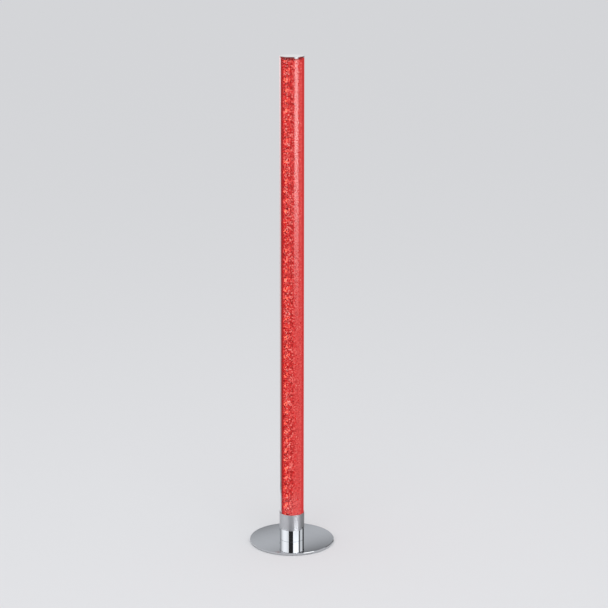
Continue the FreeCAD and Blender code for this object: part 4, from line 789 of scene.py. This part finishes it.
class LAMP_OT_studio(LampOperator, bpy.types.Operator):
    """Set up the camera, the floor, the even light and the panels that the chrome mirrors"""
    bl_idname = "lamp.studio"
    bl_label = "Studio"

    def execute(self, context):
        scene = context.scene
        studio, colours = scene.lamp_studio, scene.lamp_colours
        scene.view_settings.view_transform = "Standard"
        eye = Vector((math.sin(studio.azimuth), -math.cos(studio.azimuth), 0)) * studio.distance
        eye.z = studio.height
        ahead = Vector((-eye.x, -eye.y, 0)).normalized() * math.cos(studio.pitch)
        ahead.z = -math.sin(studio.pitch)
        data = bpy.data.cameras.new("camera")
        data.sensor_width = 36
        data.lens = studio.lens
        data.shift_x = studio.shift
        data.clip_end = 200
        camera = new_object("camera", data)
        camera.location = eye
        camera.rotation_euler = ahead.to_track_quat("-Z", "Y").to_euler()
        scene.camera = camera

        material, tree = new_material("studio_floor")
        matt = node(tree, "ShaderNodeBsdfDiffuse", {"Color": rgba(colours.floor)})
        node(tree, "ShaderNodeOutputMaterial", {"Surface": matt.outputs[0]})
        mesh = bmesh.new()
        bmesh.ops.create_circle(mesh, cap_ends=True, segments=128, radius=60)
        floor = new_object("floor", finished_mesh(mesh, "floor", material))

        # Camera and mirrors see the backdrop, and all else is lit by the even light
        world = bpy.data.worlds.new("studio")
        scene.world = world
        world.use_nodes = True
        tree = world.node_tree
        tree.nodes.clear()
        ray = node(tree, "ShaderNodeLightPath")
        seen = node(tree, "ShaderNodeMath", {0: ray.outputs["Is Camera Ray"], 1: ray.outputs["Is Glossy Ray"]},
                    operation="MAXIMUM")
        seen = node(tree, "ShaderNodeMath", {0: seen.outputs[0], 1: ray.outputs["Is Transmission Ray"]},
                    operation="MAXIMUM")
        light = node(tree, "ShaderNodeBackground", {"Color": WHITE, "Strength": studio.ambient})
        drop = node(tree, "ShaderNodeBackground", {"Color": rgba(colours.backdrop), "Strength": 1.0})
        mixed = node(tree, "ShaderNodeMixShader", {0: seen.outputs[0], 1: light.outputs[0], 2: drop.outputs[0]})
        node(tree, "ShaderNodeOutputWorld", {"Surface": mixed.outputs[0]})

        key = bpy.data.lights.new("overhead", "AREA")
        key.shape = "DISK"
        key.size = studio.key_size
        key.energy = studio.key
        # It hangs about a third of the way to the camera, aims at the column's lower half, and shows in no mirror
        share, aim = 0.35, Vector((0, 0, 0.4))
        lamp = new_object("overhead", key)
        lamp.location = (eye.x * share, eye.y * share, studio.key_height)
        lamp.rotation_euler = (aim - lamp.location).to_track_quat("-Z", "Y").to_euler()
        lamp.visible_glossy = lamp.visible_camera = False

        # Panels give the chrome its bright bands and flags its dark ones, at these distances from the column
        far, halfway, near = 6.0, 3.0, 1.2
        black = panel_light("black_flag", 0.05)
        edge_light = rising_light("edge_panel", linear("FFDCDC"), low=0.35, gain=0.75)
        card("panel_edge", -168, -122, (0.15, 0.1), (0.15, 1.2), edge_light)
        card("flag_cap", -133, 124, (far, 0.485), (far, 0.549), panel_light("red_flag", 0.4, linear("FF5050")))
        light = soft_edged_light("soft_panel", 2.27, edge_strength=0.52, middle=-70, half_angle=62, full_height=0.01)
        card("panel_left", -133, -30, (far, 0.55), (far, 3.0), light)
        card("flag_front", -30, 12.2, (far, 0.6), (far, 4.0), black)
        light = soft_edged_light("spot_panel", 1.5, edge_strength=0.35, middle=42.5, half_angle=22, full_height=0.5)
        card("panel_spot", 20.5, 64, (near, 1.019), (near, 1.1), light)
        light = soft_edged_light("bright_panel", 7.0, edge_strength=2.0, middle=42.5, half_angle=22, full_height=0.78)
        card("panel_right", 20.5, 64, (near, 0.24), (near, 1.018), light)
        card("panel_rim", 48, 90, (1.25, 1.5), (1.25, 2.5), panel_light("rim_panel", 2.6))
        card("panel_far_right", 12.2, 68, (far, 2.0), (far, 2.9), panel_light("far_panel", 2.6))
        card("flag_side", 68, 124, (6.1, 0.55), (6.1, 4.0), black)
        light = soft_edged_light("side_panel", 1.5, edge_strength=0.75, middle=102, half_angle=22, full_height=0.01)
        card("panel_side", 80, 124, (far, 2.0), (far, 2.9), light)
        card("flag_back", 124, 160, (far, 0.6), (far, 4.0), black)
        card("panel_back", 165, 195, (halfway, 1.38), (halfway, 1.9), panel_light("back_panel", 0.9))
        light = ridge_light("plate_panel", colours.backdrop, height=1.183, slope=0.27, fall=70.0, least=0.4)
        card("panel_plate", 165, 195, (halfway, 0.9), (halfway, 1.37), light)
        # The photo's floor is dark. These lie on the pale one, so that collar, film and the plate's rim mirror dark
        lying = 0.5 * MM
        card("flag_floor_right", 80, 180, (0.1, lying), (14.0, lying), panel_light("dim_flag_right", 0.35))
        card("flag_floor", -180, 80, (0.35, lying), (14.0, lying), panel_light("dim_flag", 0.25))
        return {"FINISHED"}


class LAMP_PT_panel(bpy.types.Panel):
    """The lamp's sizes, colours and studio, and the steps that make it"""
    bl_idname = "LAMP_PT_panel"
    bl_label = "Light column"
    bl_space_type = "VIEW_3D"
    bl_region_type = "UI"
    bl_category = "Lamp"

    def draw(self, context):
        for group in (context.scene.lamp_sizes, context.scene.lamp_colours, context.scene.lamp_studio):
            for prop in group.bl_rna.properties:
                if prop.identifier in type(group).__annotations__:
                    self.layout.prop(group, prop.identifier)
        for step in STEPS:
            self.layout.operator(step.bl_idname)


GROUPS = (LampSizes, LampColours, LampStudio)
STEPS = (LAMP_OT_studio, LAMP_OT_foot, LAMP_OT_cup, LAMP_OT_controller, LAMP_OT_leds, LAMP_OT_shell, LAMP_OT_film,
         LAMP_OT_top)
CLASSES = (*GROUPS, *STEPS, LAMP_PT_panel)


def register():
    for cls in CLASSES:
        bpy.utils.register_class(cls)
    bpy.types.Scene.lamp_sizes = PointerProperty(type=LampSizes)
    bpy.types.Scene.lamp_colours = PointerProperty(type=LampColours)
    bpy.types.Scene.lamp_studio = PointerProperty(type=LampStudio)


def unregister():
    del bpy.types.Scene.lamp_studio
    del bpy.types.Scene.lamp_colours
    del bpy.types.Scene.lamp_sizes
    for cls in reversed(CLASSES):
        bpy.utils.unregister_class(cls)


def main():
    register()
    bpy.ops.lamp.studio()
    bpy.ops.lamp.foot()
    bpy.ops.lamp.cup()
    bpy.ops.lamp.controller()
    bpy.ops.lamp.leds()
    bpy.ops.lamp.shell()
    bpy.ops.lamp.film()
    bpy.ops.lamp.top()


if __name__ == "__main__":
    main()
